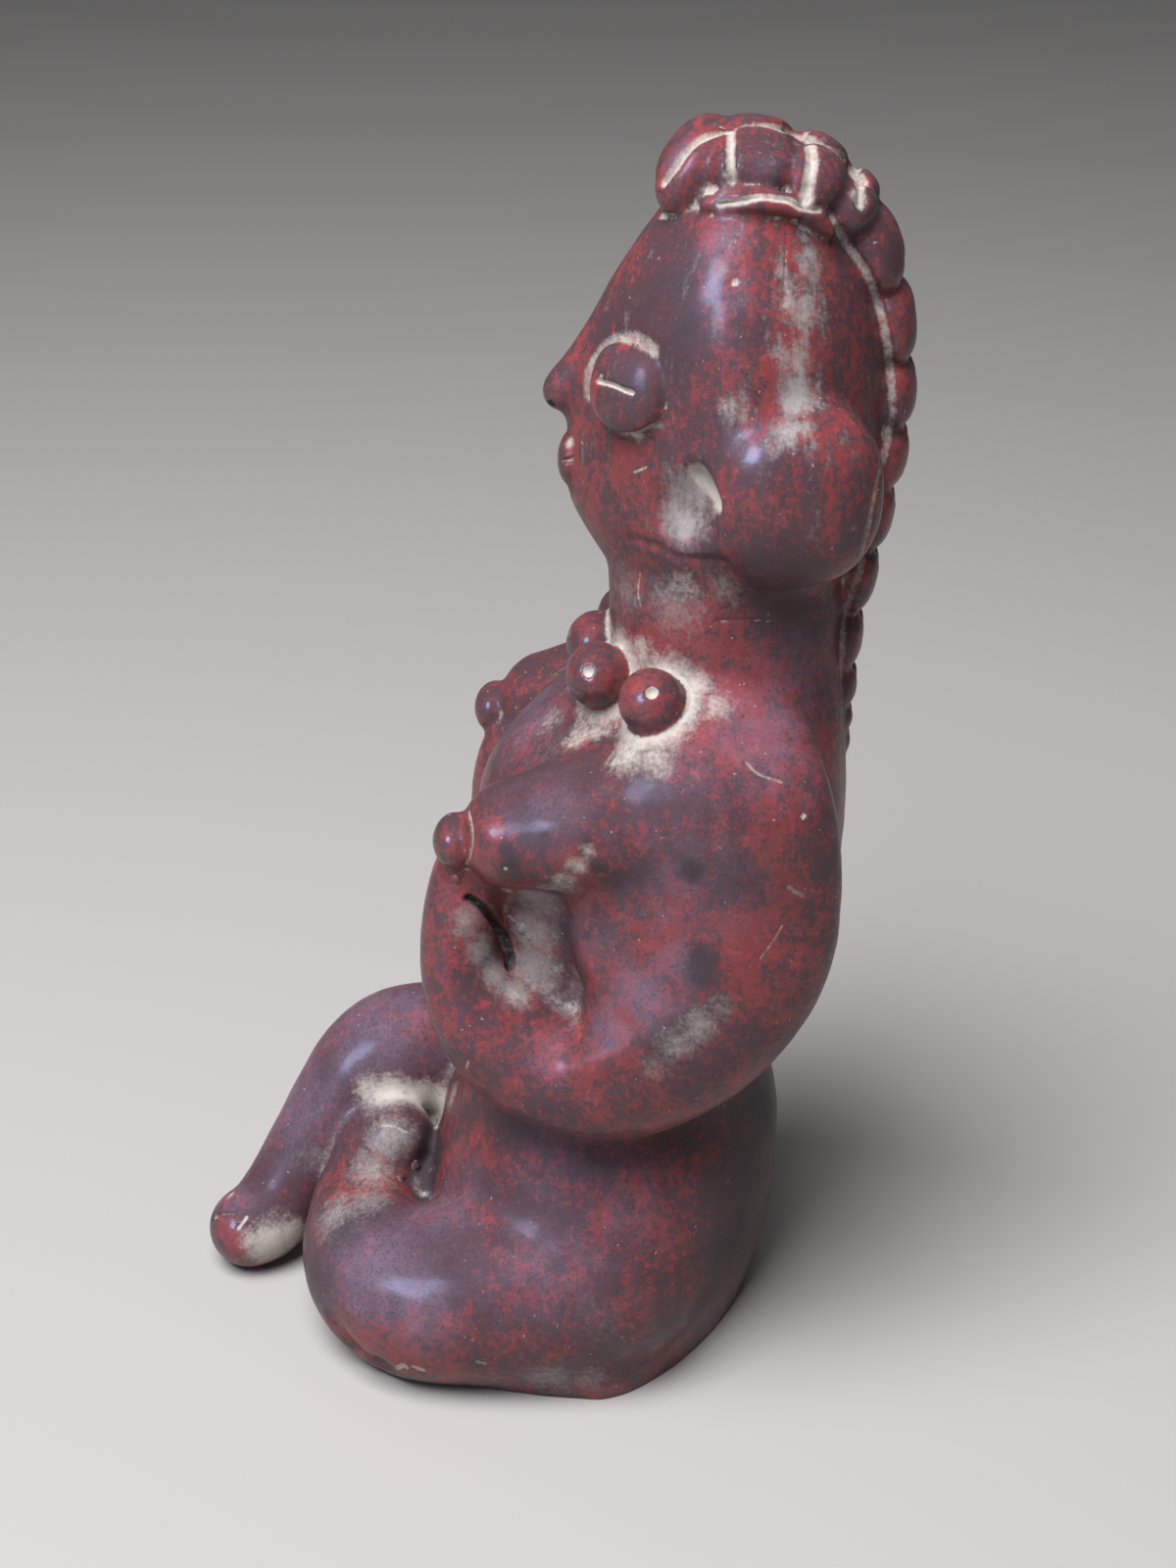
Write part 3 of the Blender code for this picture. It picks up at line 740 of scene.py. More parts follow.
def mirrored(place, side):
    """A place on the figure's left, or its mirror image on the right."""
    x, y, z = place
    return Vector((x * side, y, z))


def set_back(stations, side):
    """The breast's stations on one side."""
    if side > 0:
        return stations
    return [(x, y + RIGHT_BREAST_BACK, *rest) for x, y, *rest in stations]


def arm_stations(side):
    """The arm's stations on one side. Only the forearm's reach differs."""
    reach = 1 if side > 0 else RIGHT_FOREARM_REACH
    return [(x, y * reach if y < 0 else y, *rest) for x, y, *rest in ARM]


def body_forms(bm):
    add_level_sections(bm, TRUNK)
    add_level_sections(bm, HEAD)
    for side in (-1, 1):
        add_limb(bm, arm_stations(side), side)
        add_limb(bm, ELBOW_RIDGE, side)
        add_limb(bm, set_back(BREAST, side), side)
        roll = mirrored(HAIR_ROLL, side) * UNIT
        add_pellet(bm, roll, Vector(HAIR_ROLL_SIZE) * UNIT, facing((side, 0, 0)), HAIR_ROLL_FULLNESS)
    add_limb(bm, FOLDED_LEG)
    add_limb(bm, RAISED_LEG)
    add_limb(bm, LAP)
    add_limb(bm, NOSE)


def plait_lobes(bm):
    """Two rows of lobes along the plait, in pairs, with a rim at each side of the crown."""
    line = smooth_line(PLAIT_LINE, PLAIT_SAMPLES)
    heading = np.gradient(line[:, :2], axis=0)
    ends = np.concatenate([[0], np.cumsum(LOBE_LENGTHS)]) / sum(LOBE_LENGTHS)
    line_length = np.linalg.norm(heading, axis=1).sum()
    for start, end in zip(ends, ends[1:]):
        place = round((start + end) / 2 * (PLAIT_SAMPLES - 1))
        y, z, half_width, half_thick, parting = line[place]
        forward = Vector((0, *heading[place])).normalized()
        for side in (-1, 1):
            outward = Vector((1, 0, 0)).cross(forward) + Vector((LOBE_LEAN * side, 0, 0))
            outward.normalize()
            across = forward.cross(outward)
            turn = Matrix((across, forward, outward)).transposed().to_quaternion()
            centre = Vector(((half_width * side + parting) / 2, y, z)) - outward * half_thick
            half_length = LOBE_OVERLAP[0] * (end - start) * line_length / 2
            reach = (half_width - parting * side) / 2
            sizes = Vector((LOBE_OVERLAP[1] * reach, half_length, half_thick))
            add_pellet(bm, centre * UNIT, sizes * UNIT, turn, LOBE_FULLNESS)
    for side in (-1, 1):
        add_limb(bm, CREST_RIM, side, ring_points=20)


def bead_centres():
    return [Vector((x, y, BEAD_LEVEL)) * UNIT for x, y in BEAD_PLACES]


def bead_outward(place):
    x, y = place
    return Vector((x, y - NECK_MIDDLE_Y, BEAD_TILT)).normalized()


def applied_pellets(bm):
    """Necklace, nipples, eyes and mouth."""
    sizes = bpy.context.scene.figure_sizes
    bead = sizes.bead_radius
    for place, centre in zip(BEAD_PLACES, bead_centres()):
        add_pellet(bm, centre, (bead, bead, bead * BEAD_PRESSED), facing(bead_outward(place)))
    for side in (-1, 1):
        tip = mirrored(set_back([NIPPLE_PLACE], side)[0], side) * UNIT
        nipple = (sizes.nipple_radius, sizes.nipple_radius, sizes.nipple_radius * NIPPLE_PRESSED)
        add_pellet(bm, tip, nipple, facing(mirrored(NIPPLE_FACING, side)))
        eye = mirrored(EYE_PLACE, side) * UNIT
        disc = (sizes.eye_radius, sizes.eye_radius, sizes.eye_radius * EYE_PRESSED)
        add_pellet(bm, eye, disc, facing(mirrored(EYE_FACING, side)), EYE_FULLNESS)
    add_pellet(bm, Vector(MOUTH_PLACE) * UNIT, Vector(MOUTH_SIZE) * UNIT, facing((0, -1, 0)))


class Clay:
    """The figure's surface as it stands, for laying marks on it where the photograph shows them."""

    def __init__(self, mesh, stage):
        bm = bmesh.new()
        bm.from_mesh(mesh)
        self.tree = BVHTree.FromBMesh(bm)
        bm.free()
        self.eye = camera_place(stage)
        turn = camera_turn(stage)
        self.right = turn @ Vector((1, 0, 0))
        self.up = turn @ Vector((0, 1, 0))
        self.ahead = turn @ Vector((0, 0, -1))

    def seen(self, pixel):
        """The spot on the clay at a pixel of the photograph, or the nearest to it: place and normal."""
        across = (pixel[0] - PHOTO_WIDE / 2) / PHOTO_FOCUS
        down = (pixel[1] - PHOTO_HIGH / 2) / PHOTO_FOCUS
        ray = (self.ahead + self.right * across - self.up * down).normalized()
        hit, normal = self.tree.ray_cast(self.eye, ray)[:2]
        if hit is None:
            miss = self.eye + ray * (self.eye.length - STOP_SHORT)
            hit, normal = self.tree.find_nearest(miss)[:2]
        return np.array([*hit, *normal])

    def path(self, pixels):
        """The spots on the clay that show along a run of pixels."""
        rows = np.array(pixels, float)
        length = np.linalg.norm(np.diff(rows, axis=0), axis=1).sum()
        return np.array([self.seen(pixel) for pixel in smooth_line(rows, max(3, round(length / PATH_STEP)))])

    def far_side(self, spots):
        """The same spots on the figure's other side."""
        found = []
        for x, y, z in spots[:, :3]:
            place, normal = self.tree.find_nearest(Vector((-x, y, z)))[:2]
            found.append([*place, *normal])
        return np.array(found)

    def spots(self, pixel, both):
        """The spot at a pixel, and its match on the far side where both sides have the mark."""
        spot = self.seen(pixel)
        return [spot, self.far_side(spot[None])[0]] if both else [spot]


def camera_turn(stage):
    return camera_back(stage).to_track_quat("Z", "Y")


def camera_back(stage):
    turn = stage.camera_azimuth
    rise = stage.camera_elevation
    return Vector((math.cos(rise) * math.sin(turn), -math.cos(rise) * math.cos(turn), math.sin(rise)))


def camera_place(stage):
    return Vector((0, 0, stage.aim_height)) + camera_back(stage) * stage.camera_distance


def along_clay(offsets, normal):
    """How far offsets reach along the clay's surface. Those that lead far into or out of it don't count."""
    inward = offsets @ normal
    away = np.linalg.norm(offsets - inward[:, None] * normal, axis=1)
    return np.where(np.abs(inward) < CARVED_DEPTH * MM, away, np.inf)


def spot_distance(points, spot):
    """How far each point is from a spot, measured along the clay."""
    return along_clay(points - spot[:3], spot[3:])


def line_distance(points, path):
    """How far each point is from a run of spots, along the clay. Leaps behind an edge are left out."""
    best = np.full(len(points), np.inf)
    for start, end in zip(path, path[1:]):
        run = end[:3] - start[:3]
        if run @ run > (LONGEST_STEP * MM) ** 2:
            continue
        normal = start[3:] + end[3:]
        normal /= np.linalg.norm(normal)
        offsets = points - start[:3]
        share = np.clip(offsets @ run / max(run @ run, TINY), 0, 1)
        best = np.minimum(best, along_clay(offsets - share[:, None] * run, normal))
    return best


def near_rows(points, path, reach):
    """The rows of points inside the box round a path, so that the slow work is done only there."""
    low = path[:, :3].min(axis=0) - reach
    high = path[:, :3].max(axis=0) + reach
    return np.flatnonzero(((points > low) & (points < high)).all(axis=1))


class Marks:
    """Every small mark, laid on the clay: paths and places in metres, on both sides where both have one."""

    def __init__(self, clay):
        self.lines = []
        for pixels, half_width, depth, dust, *both in PRESSED_LINES:
            path = clay.path(pixels)
            for laid in [path, clay.far_side(path)] if both else [path]:
                self.lines.append((laid, half_width * MM, depth * MM, dust))
        self.pits = []
        for pixel, radius, depth, dust, *both in PITS:
            for spot in clay.spots(pixel, both):
                self.pits.append((spot, radius * MM, depth * MM, dust))
        hole = bpy.context.scene.figure_sizes.bead_hole
        self.pits += [(spot, hole, hole * BEAD_HOLE_DEPTH, 1.0) for spot in bead_holes(clay)]
        self.hollows = []
        for pixel, radius, depth, *both in HOLLOWS:
            for spot in clay.spots(pixel, both):
                self.hollows.append((spot, radius * MM, depth * MM))
        self.crumbs = [(clay.seen(pixel), radius * MM) for pixel, radius in CRUMBS]
        self.chips = [(clay.seen(pixel), radius * MM, depth * MM) for pixel, radius, depth in CHIPS]
        self.patches = {}
        for layer, sides in PATCHES.items():
            self.patches[layer] = [
                (spot[:3], reach * MM, amount)
                for side, rows in sides.items()
                for x, y, reach, amount in rows
                for spot in clay.spots((x, y), side == "both")
            ]


def bead_holes(clay):
    """The spots of the beads' punched holes, from the figure's left to its right."""
    bead = bpy.context.scene.figure_sizes.bead_radius
    holes = [clay.seen(pixel) for pixel in SEEN_BEAD_HOLES]
    for place, centre in list(zip(BEAD_PLACES, bead_centres()))[len(holes) :]:
        outward = (bead_outward(place) + Vector((0, 0, BEAD_HOLE_TILT))).normalized()
        holes.append(np.array([*(centre + outward * bead), *outward]))
    return holes


def refine(figure, marks):
    """Splits the faces near the fine marks, so that a thin line has edges of its own."""
    points = read_points(figure.data)
    margin = SPLIT_MARGIN * MM
    chosen = np.zeros(len(points), bool)
    for path, half_width, *rest in marks.lines:
        reach = half_width * LINE_EDGE + margin
        rows = near_rows(points, path, reach)
        chosen[rows[line_distance(points[rows], path) < reach]] = True
    for spot, radius, *rest in marks.pits + marks.crumbs:
        chosen |= spot_distance(points, spot) < radius * ROUND_EDGE + margin
    bm = bmesh.new()
    bm.from_mesh(figure.data)
    bm.verts.ensure_lookup_table()
    faces = {face for row in np.flatnonzero(chosen) for face in bm.verts[int(row)].link_faces}
    edges = {edge for face in faces for edge in face.edges}
    bmesh.ops.subdivide_edges(bm, edges=list(edges), cuts=1, use_grid_fill=True)
    bmesh.ops.triangulate(bm, faces=[face for face in bm.faces if len(face.verts) > 4])
    bm.to_mesh(figure.data)
    bm.free()


def uneven(points):
    """How far the hand-worked clay stands above its true form, in metres."""
    waves = [(size * MM, Vector((*WAVES_START, size)), height) for size, height in WAVES]
    rise = np.empty(len(points))
    for row, point in enumerate(points):
        rise[row] = sum(noise.noise(Vector(point / size) + start) * height for size, start, height in waves)
    return rise * MM


def carve(figure, marks):
    """Presses the lines, hollows, pits and chips in, and leaves the crumbs on."""
    mesh = figure.data
    points = read_points(mesh)
    normals = read_normals(mesh)
    rise = uneven(points)
    for path, half_width, depth, dust in marks.lines:
        rows = near_rows(points, path, half_width * 4)
        away = line_distance(points[rows], path) / half_width
        rim = RIM_HEIGHT * depth * np.exp(-(((away - RIM_PLACE) / RIM_WIDTH) ** 2))
        rise[rows] -= depth * np.exp(-(away**2)) - rim
    for spot, radius, depth in marks.hollows:
        away = spot_distance(points, spot) / radius
        rise -= depth * (1 - rising(away, *HOLLOW_SLOPE))
    for spot, radius, depth, dust in marks.pits:
        away = spot_distance(points, spot) / radius
        rise -= depth * np.clip(1 - away**PIT_WALL, 0, 1) ** PIT_FLOOR
    for spot, radius in marks.crumbs:
        away = spot_distance(points, spot) / radius
        rise += CRUMB_HEIGHT * radius * np.clip(1 - away**2, 0, 1) ** CRUMB_ROUND
    for spot, radius, depth in marks.chips:
        away = spot_distance(points, spot) / radius
        rise -= depth * np.clip(CHIP_REACH - away, 0, 1)
    write_points(mesh, points + normals * rise[:, None])


def thin_out(figure, triangles):
    thin = figure.modifiers.new("fewer faces", "DECIMATE")
    count = sum(len(face.vertices) - 2 for face in figure.data.polygons)
    thin.ratio = min(1, triangles / count)
    apply_modifiers(figure)


def cut_flat(figure, level):
    """Cuts everything below a level away and closes the underside."""
    bm = bmesh.new()
    bm.from_mesh(figure.data)
    everything = bm.verts[:] + bm.edges[:] + bm.faces[:]
    cut = bmesh.ops.bisect_plane(
        bm, geom=everything, dist=1e-7, plane_co=(0, 0, level), plane_no=(0, 0, -1), clear_outer=True
    )
    rim = [item for item in cut["geom_cut"] if isinstance(item, bmesh.types.BMEdge)]
    filled = bmesh.ops.holes_fill(bm, edges=rim, sides=0)
    bmesh.ops.triangulate(bm, faces=filled["faces"])
    bm.to_mesh(figure.data)
    bm.free()


def hollowness(mesh, points, reach, grain):
    """How deep each point lies in a hollow of about the given reach, in metres."""
    edges, degree = read_edges(mesh)
    smooth = points
    for turn in range(max(1, round(2 * (reach / grain) ** 2))):
        smooth = 0.5 * (smooth + neighbour_mean(smooth, edges, degree))
    return np.einsum("ij,ij->i", smooth - points, read_normals(mesh))


def rising(values, low, high):
    """0 below low, 1 above high, and smooth between them."""
    share = np.clip((values - low) / (high - low), 0, 1)
    return share * share * (3 - 2 * share)


def lay_patches(points, patches):
    layer = np.zeros(len(points))
    for place, reach, amount in patches:
        rows = near_rows(points, place[None], reach)
        layer[rows] = np.maximum(layer[rows], amount * near(points[rows], place, reach))
    return layer


def in_mm(values, limits):
    """The same as rising, with the limits in mm."""
    return rising(values, limits[0] * MM, limits[1] * MM)


def stains_and_painted_light(figure, marks):
    """Stores how dusty, filmed, dark and rubbed each point is, with painted shade in the dark layer and a
    painted sheen, for the material to read.
    """
    mesh = figure.data
    points = read_points(mesh)
    sizes = bpy.context.scene.figure_sizes
    layers = {name: lay_patches(points, patches) for name, patches in marks.patches.items()}
    fine = hollowness(mesh, points, CREASE_REACH * MM, sizes.grain)
    broad = hollowness(mesh, points, HOLLOW_REACH * MM, sizes.grain)
    # Deep hollows are painted dark, as shade.
    layers["dark"] = np.maximum(layers["dark"], in_mm(broad, SHADED_HOLLOW))
    clean = 1 - rising(layers["dark"], *CLEAN_DARK)
    layers["film"] = np.maximum(layers["film"], HOLLOW_FILM * in_mm(broad, FILMED_HOLLOW)) * clean
    dust = np.maximum(layers["dust"], CREASE_DUST * in_mm(fine, DUSTY_CREASE)) * clean
    bead = sizes.bead_radius
    from_beads = [np.linalg.norm(points - np.array(centre), axis=1) / bead for centre in bead_centres()]
    for away in from_beads:
        dust = np.maximum(dust, HALO_DUST * np.clip((HALO_END - away) / HALO_FADE, 0, 1))
    for away in from_beads:
        dust *= rising(away, *BEAD_CLEAN)
    for side in (-1, 1):
        place = np.array(mirrored(EYE_PLACE, side) * UNIT)
        outward = np.array(mirrored(EYE_FACING, side).normalized())
        lift = (points - place) @ outward
        away = np.linalg.norm(points - place - lift[:, None] * outward, axis=1) / sizes.eye_radius
        dust *= 1 - (1 - rising(away, *EYE_CLEAN)) * (np.abs(lift) < EYE_TOP)
    for path, half_width, depth, amount in marks.lines:
        rows = near_rows(points, path, half_width * 3 + depth)
        away = line_distance(points[rows], path) / half_width
        dust[rows] = np.maximum(dust[rows], amount * (1 - rising(away, *LINE_DUST)))
        # A line that holds no dust is painted dark along its middle, as shade in its depth.
        if amount == 0:
            dust[rows] *= rising(away, *LINE_CLEAN)
            layers["dark"][rows] = np.maximum(layers["dark"][rows], 1 - rising(away, *LINE_SHADE))
    for spot, radius, depth, amount in marks.pits:
        inside = 1 - rising(spot_distance(points, spot) / radius, *PIT_FILL)
        dust = np.maximum(dust, amount * inside)
        # A pit that holds no dust is painted dark inside, as shade in its depth.
        if amount == 0:
            layers["dark"] = np.maximum(layers["dark"], inside)
    for spot, radius, depth in marks.chips:
        away = spot_distance(points, spot) / radius
        dust = np.maximum(dust, CHIP_DUST * (1 - rising(away, *CHIP_FILL)))
    layers["dust"] = dust
    layers["crown"] = in_mm(-broad, BURNISHED_CROWN)
    for name, values in layers.items():
        attribute = mesh.attributes.new(name, "FLOAT", "POINT")
        attribute.data.foreach_set("value", values.astype(np.float32))


class Signal:
    """A node's output for use in a Python expression. Each operator on it adds one Math node."""

    def __init__(self, graph, socket):
        self.graph = graph
        self.socket = socket

    def __add__(self, other):
        return self.graph.maths("ADD", self, other)

    def __sub__(self, other):
        return self.graph.maths("SUBTRACT", self, other)

    def __mul__(self, other):
        return self.graph.maths("MULTIPLY", self, other)

    def __rsub__(self, other):
        return self.graph.maths("SUBTRACT", other, self)

    __radd__ = __add__
    __rmul__ = __mul__


class Graph:
    """The nodes of one material."""

    def __init__(self, material):
        material.use_nodes = True
        self.tree = material.node_tree
        self.tree.nodes.clear()

    def node(self, kind, settings=None, sockets=None):
        """Adds a node, with its settings first and then the values or links of its sockets."""
        made = self.tree.nodes.new(kind)
        for name, value in (settings or {}).items():
            setattr(made, name, value)
        for key, value in (sockets or {}).items():
            if isinstance(value, Signal):
                self.tree.links.new(value.socket, made.inputs[key])
            else:
                made.inputs[key].default_value = value
        return made

    def maths(self, operation, first, second):
        made = self.node("ShaderNodeMath", {"operation": operation}, {0: first, 1: second})
        return Signal(self, made.outputs[0])

    def larger(self, first, second):
        return self.maths("MAXIMUM", first, second)

    def principled(self, finish):
        """Ends the material in one shader with the given finish."""
        shader = self.node("ShaderNodeBsdfPrincipled", None, finish)
        self.node("ShaderNodeOutputMaterial", None, {"Surface": Signal(self, shader.outputs[0])})

    def layer(self, name):
        made = self.node("ShaderNodeAttribute", {"attribute_type": "GEOMETRY", "attribute_name": name})
        return Signal(self, made.outputs["Fac"])

    def stretched(self, place, factors):
        made = self.node("ShaderNodeVectorMath", {"operation": "MULTIPLY"}, {0: place, 1: factors})
        return Signal(self, made.outputs[0])

    def place(self, factors=(1, 1, 1)):
        """Where a point is on the object, in mm, with each axis stretched by a factor."""
        coords = self.node("ShaderNodeTexCoord")
        return self.stretched(Signal(self, coords.outputs["Object"]), [factor / MM for factor in factors])

    def turned(self, place, angles):
        made = self.node("ShaderNodeVectorRotate", {"rotation_type": "EULER_XYZ"}, {"Vector": place})
        made.inputs["Rotation"].default_value = angles
        return Signal(self, made.outputs[0])

    def cloud(self, place, name):
        """Smooth noise from 0 to 1, by its name in the table."""
        size, detail, roughness, twist = CLOUDS[name]
        settings = {"Vector": place, "Scale": 0.5 / size, "Detail": detail}
        settings.update({"Roughness": roughness, "Distortion": twist})
        made = self.node("ShaderNodeTexNoise", {"noise_dimensions": "3D"}, settings)
        return Signal(self, made.outputs["Fac"])

    def rising(self, value, low, high):
        made = self.node(
            "ShaderNodeMapRange",
            {"interpolation_type": "SMOOTHSTEP"},
            {"Value": value, "From Min": low, "From Max": high, "To Min": 0.0, "To Max": 1.0},
        )
        return Signal(self, made.outputs["Result"])

    def edge(self, value, name):
        """How fully a layer is there, by its name in the table."""
        return self.rising(value, *EDGES[name])

    def blend(self, share, first, second, how="MIX"):
        settings = {"data_type": "RGBA", "blend_type": how}
        made = self.node("ShaderNodeMix", settings, {0: share, 6: first, 7: second})
        return Signal(self, made.outputs[2])


def opaque(colour):
    return (*colour, 1)


def swing(cloud, weight):
    """A cloud as a swing to both sides of nothing, by up to half its weight."""
    return (cloud - 0.5) * weight


def burnished_terracotta(colours):
    """Red-brown burnished clay, mottled dark, with dust and a beige film where the layers say so, painted
    shade where the dark layer is strong, and a painted lilac sheen.
    """
    material = bpy.data.materials.new("burnished terracotta")
    graph = Graph(material)
    place = graph.place()
    height = graph.node("ShaderNodeSeparateXYZ", None, {"Vector": place})
    head = graph.edge(Signal(graph, height.outputs["Z"]), "head")
    drift, region, patch, fleck, grit, dust_noise = [
        graph.cloud(place, name) for name in ("drift", "region", "patch", "fleck", "grit", "dust")
    ]
    streak = graph.cloud(graph.place(STREAK_STRETCH), "streak")
    dark, red, painted_sheen, dust, film, crown = [
        graph.layer(name) for name in ("dark", "red", "painted_sheen", "dust", "film", "crown")
    ]

    # The dark layer, partly painted shade, pushes the mottle towards the dark clay.
    lean = patch * 0.58 + region * 0.42 + swing(drift, 0.3) + swing(fleck, 0.36)
    lean = lean + swing(streak, 0.08 + head * 0.3)
    mottle = graph.edge(lean + dark * 0.16 - red * 0.14, "mottle")
    clay = graph.blend(mottle * COVER["dark"], opaque(colours.red_clay), opaque(colours.dark_clay))
    bright = graph.edge(graph.cloud(place, "bright"), "bright")
    clay = graph.blend(bright * (1 - mottle) * COVER["bright"], clay, opaque(colours.bright_clay))
    # Painted sheen: a lilac tint standing in for the bluish window light's reflection, laid where its patches
    # say and spread thinly at random by the haze.
    haze = swing(graph.cloud(place, "haze"), 0.9)
    painted_sheen_share = graph.edge(painted_sheen * 0.8 + haze - 0.02, "painted_sheen")
    clay = graph.blend(painted_sheen_share * COVER["painted_sheen"], clay, opaque(colours.painted_sheen))
    pepper = graph.edge(graph.cloud(place, "pepper") + mottle * 0.06, "pepper")
    clay = graph.blend(pepper * COVER["pepper"], clay, opaque(colours.soot_and_shade))
    # Dark clay from the dark layer: smoke-darkened patches and painted shade.
    soot_and_shade = graph.edge(dark * (0.5 + streak) + swing(fleck, 0.3) + swing(dust_noise, 0.45), "soot_and_shade")
    clay = graph.blend(soot_and_shade * COVER["soot_and_shade"], clay, opaque(colours.soot_and_shade))
    shade = graph.node("ShaderNodeCombineColor", {"mode": "RGB"})
    grain = 0.6 + (fleck + grit) * 0.4
    for k in range(3):
        graph.tree.links.new(grain.socket, shade.inputs[k])
    clay = graph.blend(1.0, clay, Signal(graph, shade.outputs[0]), "MULTIPLY")

    strokes = graph.stretched(graph.turned(place, STROKE_TURN), STROKE_STRETCH)
    stroke = graph.cloud(strokes, "stroke")
    film_noise = swing(dust_noise, 0.8) + swing(fleck, 0.5) + swing(stroke, 0.4)
    film_noise = film_noise + swing(streak, 0.2 + head * 1.4)
    film_share = graph.edge(film * 0.9 + film_noise, "film")
    clay = graph.blend(film_share * COVER["film"], clay, opaque(colours.film))
    dust_share = graph.edge(dust + swing(dust_noise, 0.75) + swing(fleck, 0.45), "dust")
    clay = graph.blend(dust_share * COVER["dust"], clay, opaque(colours.dust))
    specks = graph.edge(graph.cloud(place, "specks"), "specks")
    clay = graph.blend(specks * COVER["specks"], clay, opaque(colours.dust))

    pale = graph.larger(film_share * COVER["film"], dust_share)
    gloss = graph.cloud(place, "gloss")
    roughness = ROUGHNESS + mottle * 0.05 + soot_and_shade * 0.1 + swing(gloss, 0.2) + pale * 0.4 + grit * 0.05
    shine = 0.05 + crown * 0.4 + gloss * 0.25
    coat = (1 - pale) * (1 - graph.larger(soot_and_shade * 0.7, dark * 0.85)) * shine
    relief = fleck * 0.35 + grit * 0.25 + dust_share * 0.5 + stroke * 0.3 - specks * 0.3
    skin = {"Strength": 0.5, "Distance": SKIN_RELIEF * MM, "Height": relief}
    bump = graph.node("ShaderNodeBump", None, skin)
    finish = {
        "Base Color": clay,
        "Roughness": roughness,
        "Metallic": 0.0,
        "IOR": 1.42,
        "Specular IOR Level": 0.35,
        "Coat Weight": coat,
        "Coat Roughness": 0.19,
        "Normal": Signal(graph, bump.outputs[0]),
    }
    graph.principled(finish)
    return material


def plain_material(name, colour, roughness):
    material = bpy.data.materials.new(name)
    Graph(material).principled({"Base Color": opaque(colour), "Roughness": roughness})
    return material


def length(name, description, default):
    return bpy.props.FloatProperty(
        name=name, description=description, default=default, unit="LENGTH", precision=5
    )


def angle(name, description, degrees):
    return bpy.props.FloatProperty(
        name=name, description=description, default=math.radians(degrees), unit="ROTATION"
    )


def strength(name, description, default):
    return bpy.props.FloatProperty(name=name, description=description, default=default)


def colour(name, description, default):
    return bpy.props.FloatVectorProperty(
        name=name, description=description, default=default, subtype="COLOR"
    )


class FigureSizes(bpy.types.PropertyGroup):
    grain: length("Grain", "How fine the modelled skin is", 0.9 * MM)
    first_rub: length("First rub", "Reach of the first light rub", 1.8 * MM)
    join_rub: length("Join rub", "Reach of the thumb at the joins", 8 * MM)
    last_rub: length("Last rub", "Reach of the last rub", 0.55 * MM)
    bead_radius: length("Bead radius", "Radius of a rolled bead", 7.2 * MM)
    bead_hole: length("Bead hole", "Radius of a bead's punched hole", 1.4 * MM)
    nipple_radius: length("Nipple radius", "Radius of a nipple pellet", 6.2 * MM)
    eye_radius: length("Eye radius", "Radius of an eye disc", 9.2 * MM)
    triangles: bpy.props.IntProperty(
        name="Triangles", description="Most triangles that the figure may have", default=192000
    )


class FinishColours(bpy.types.PropertyGroup):
    red_clay: colour("Red clay", "Burnished red-brown clay", (0.18, 0.036, 0.038))
    bright_clay: colour("Bright clay", "Redder clay between the dark patches", (0.32, 0.062, 0.064))
    dark_clay: colour("Dark clay", "Dark purplish patches", (0.056, 0.033, 0.04))
    # Painted sheen: a lilac tint that stands in for the reflection of the bluish window light.
    painted_sheen: colour("Bloom", "Thin lilac bloom on the burnished clay", (0.2, 0.145, 0.215))
    # This colour also paints shade: under the arm, behind the hip, under the hair roll and jaw, in deep
    # hollows, in the hand's slit and the nostril.
    soot_and_shade: colour("Soot", "Clay darkened in the firing", (0.042, 0.034, 0.039))
    film: colour("Film", "Beige-grey film on worn clay", (0.33, 0.305, 0.29))
    dust: colour("Dust", "Pale dust in the creases", (0.45, 0.41, 0.365))


class StageSizes(bpy.types.PropertyGroup):
    floor_size: length("Floor size", "Side of the plain floor", 8.0)
    floor_colour: colour("Floor colour", "Plain pale floor", (0.4, 0.38, 0.36))
    camera_azimuth: angle("Camera azimuth", "Camera's turn round the figure", 94)
    camera_elevation: angle("Camera elevation", "How far the camera looks down", 27)
    camera_distance: length("Camera distance", "From the aim point to the camera", 0.551)
    aim_height: length("Aim height", "Height of the point the camera looks at", 0.134)
    window_power: strength("Window power", "Power of the bluish window light's shine", 17.0)
    above_power: strength("Power above", "Power of the soft light above the figure's front", 35.0)
    sky_strength: strength("Sky strength", "Strength of the even light all round", 0.14)


class FIGURE_OT_model(bpy.types.Operator):
    """Model the figure in fine clay round its solid, press its marks in and burnish it"""

    bl_idname = "figure.model"
    bl_label = "Model Figure"

    def execute(self, context):
        sizes = context.scene.figure_sizes
        figure = put_in_scene(context, "terracotta_figure", mesh_from([body_forms], "body"))
        fuse(figure, sizes.grain)
        rub_smooth(figure, sizes.first_rub, sizes.grain)
        rub_smooth(figure, sizes.join_rub, sizes.grain, fill_only=True, share=soft_joins)
        body = figure.data
        figure.data = mesh_from([lambda bm: bm.from_mesh(body), plait_lobes, applied_pellets], "dressed")
        fuse(figure, sizes.grain)
        rub_smooth(figure, sizes.last_rub, sizes.grain)
        marks = Marks(Clay(figure.data, context.scene.figure_stage))
        refine(figure, marks)
        carve(figure, marks)
        cut_flat(figure, 0)
        thin_out(figure, sizes.triangles)
        stains_and_painted_light(figure, marks)
        figure.data.name = "terracotta_figure"
        figure.data.materials.clear()
        figure.data.materials.append(burnished_terracotta(context.scene.figure_colours))
        figure.data.shade_smooth()
        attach(figure, "root")
        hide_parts(CAD_NODE)
        return {"FINISHED"}


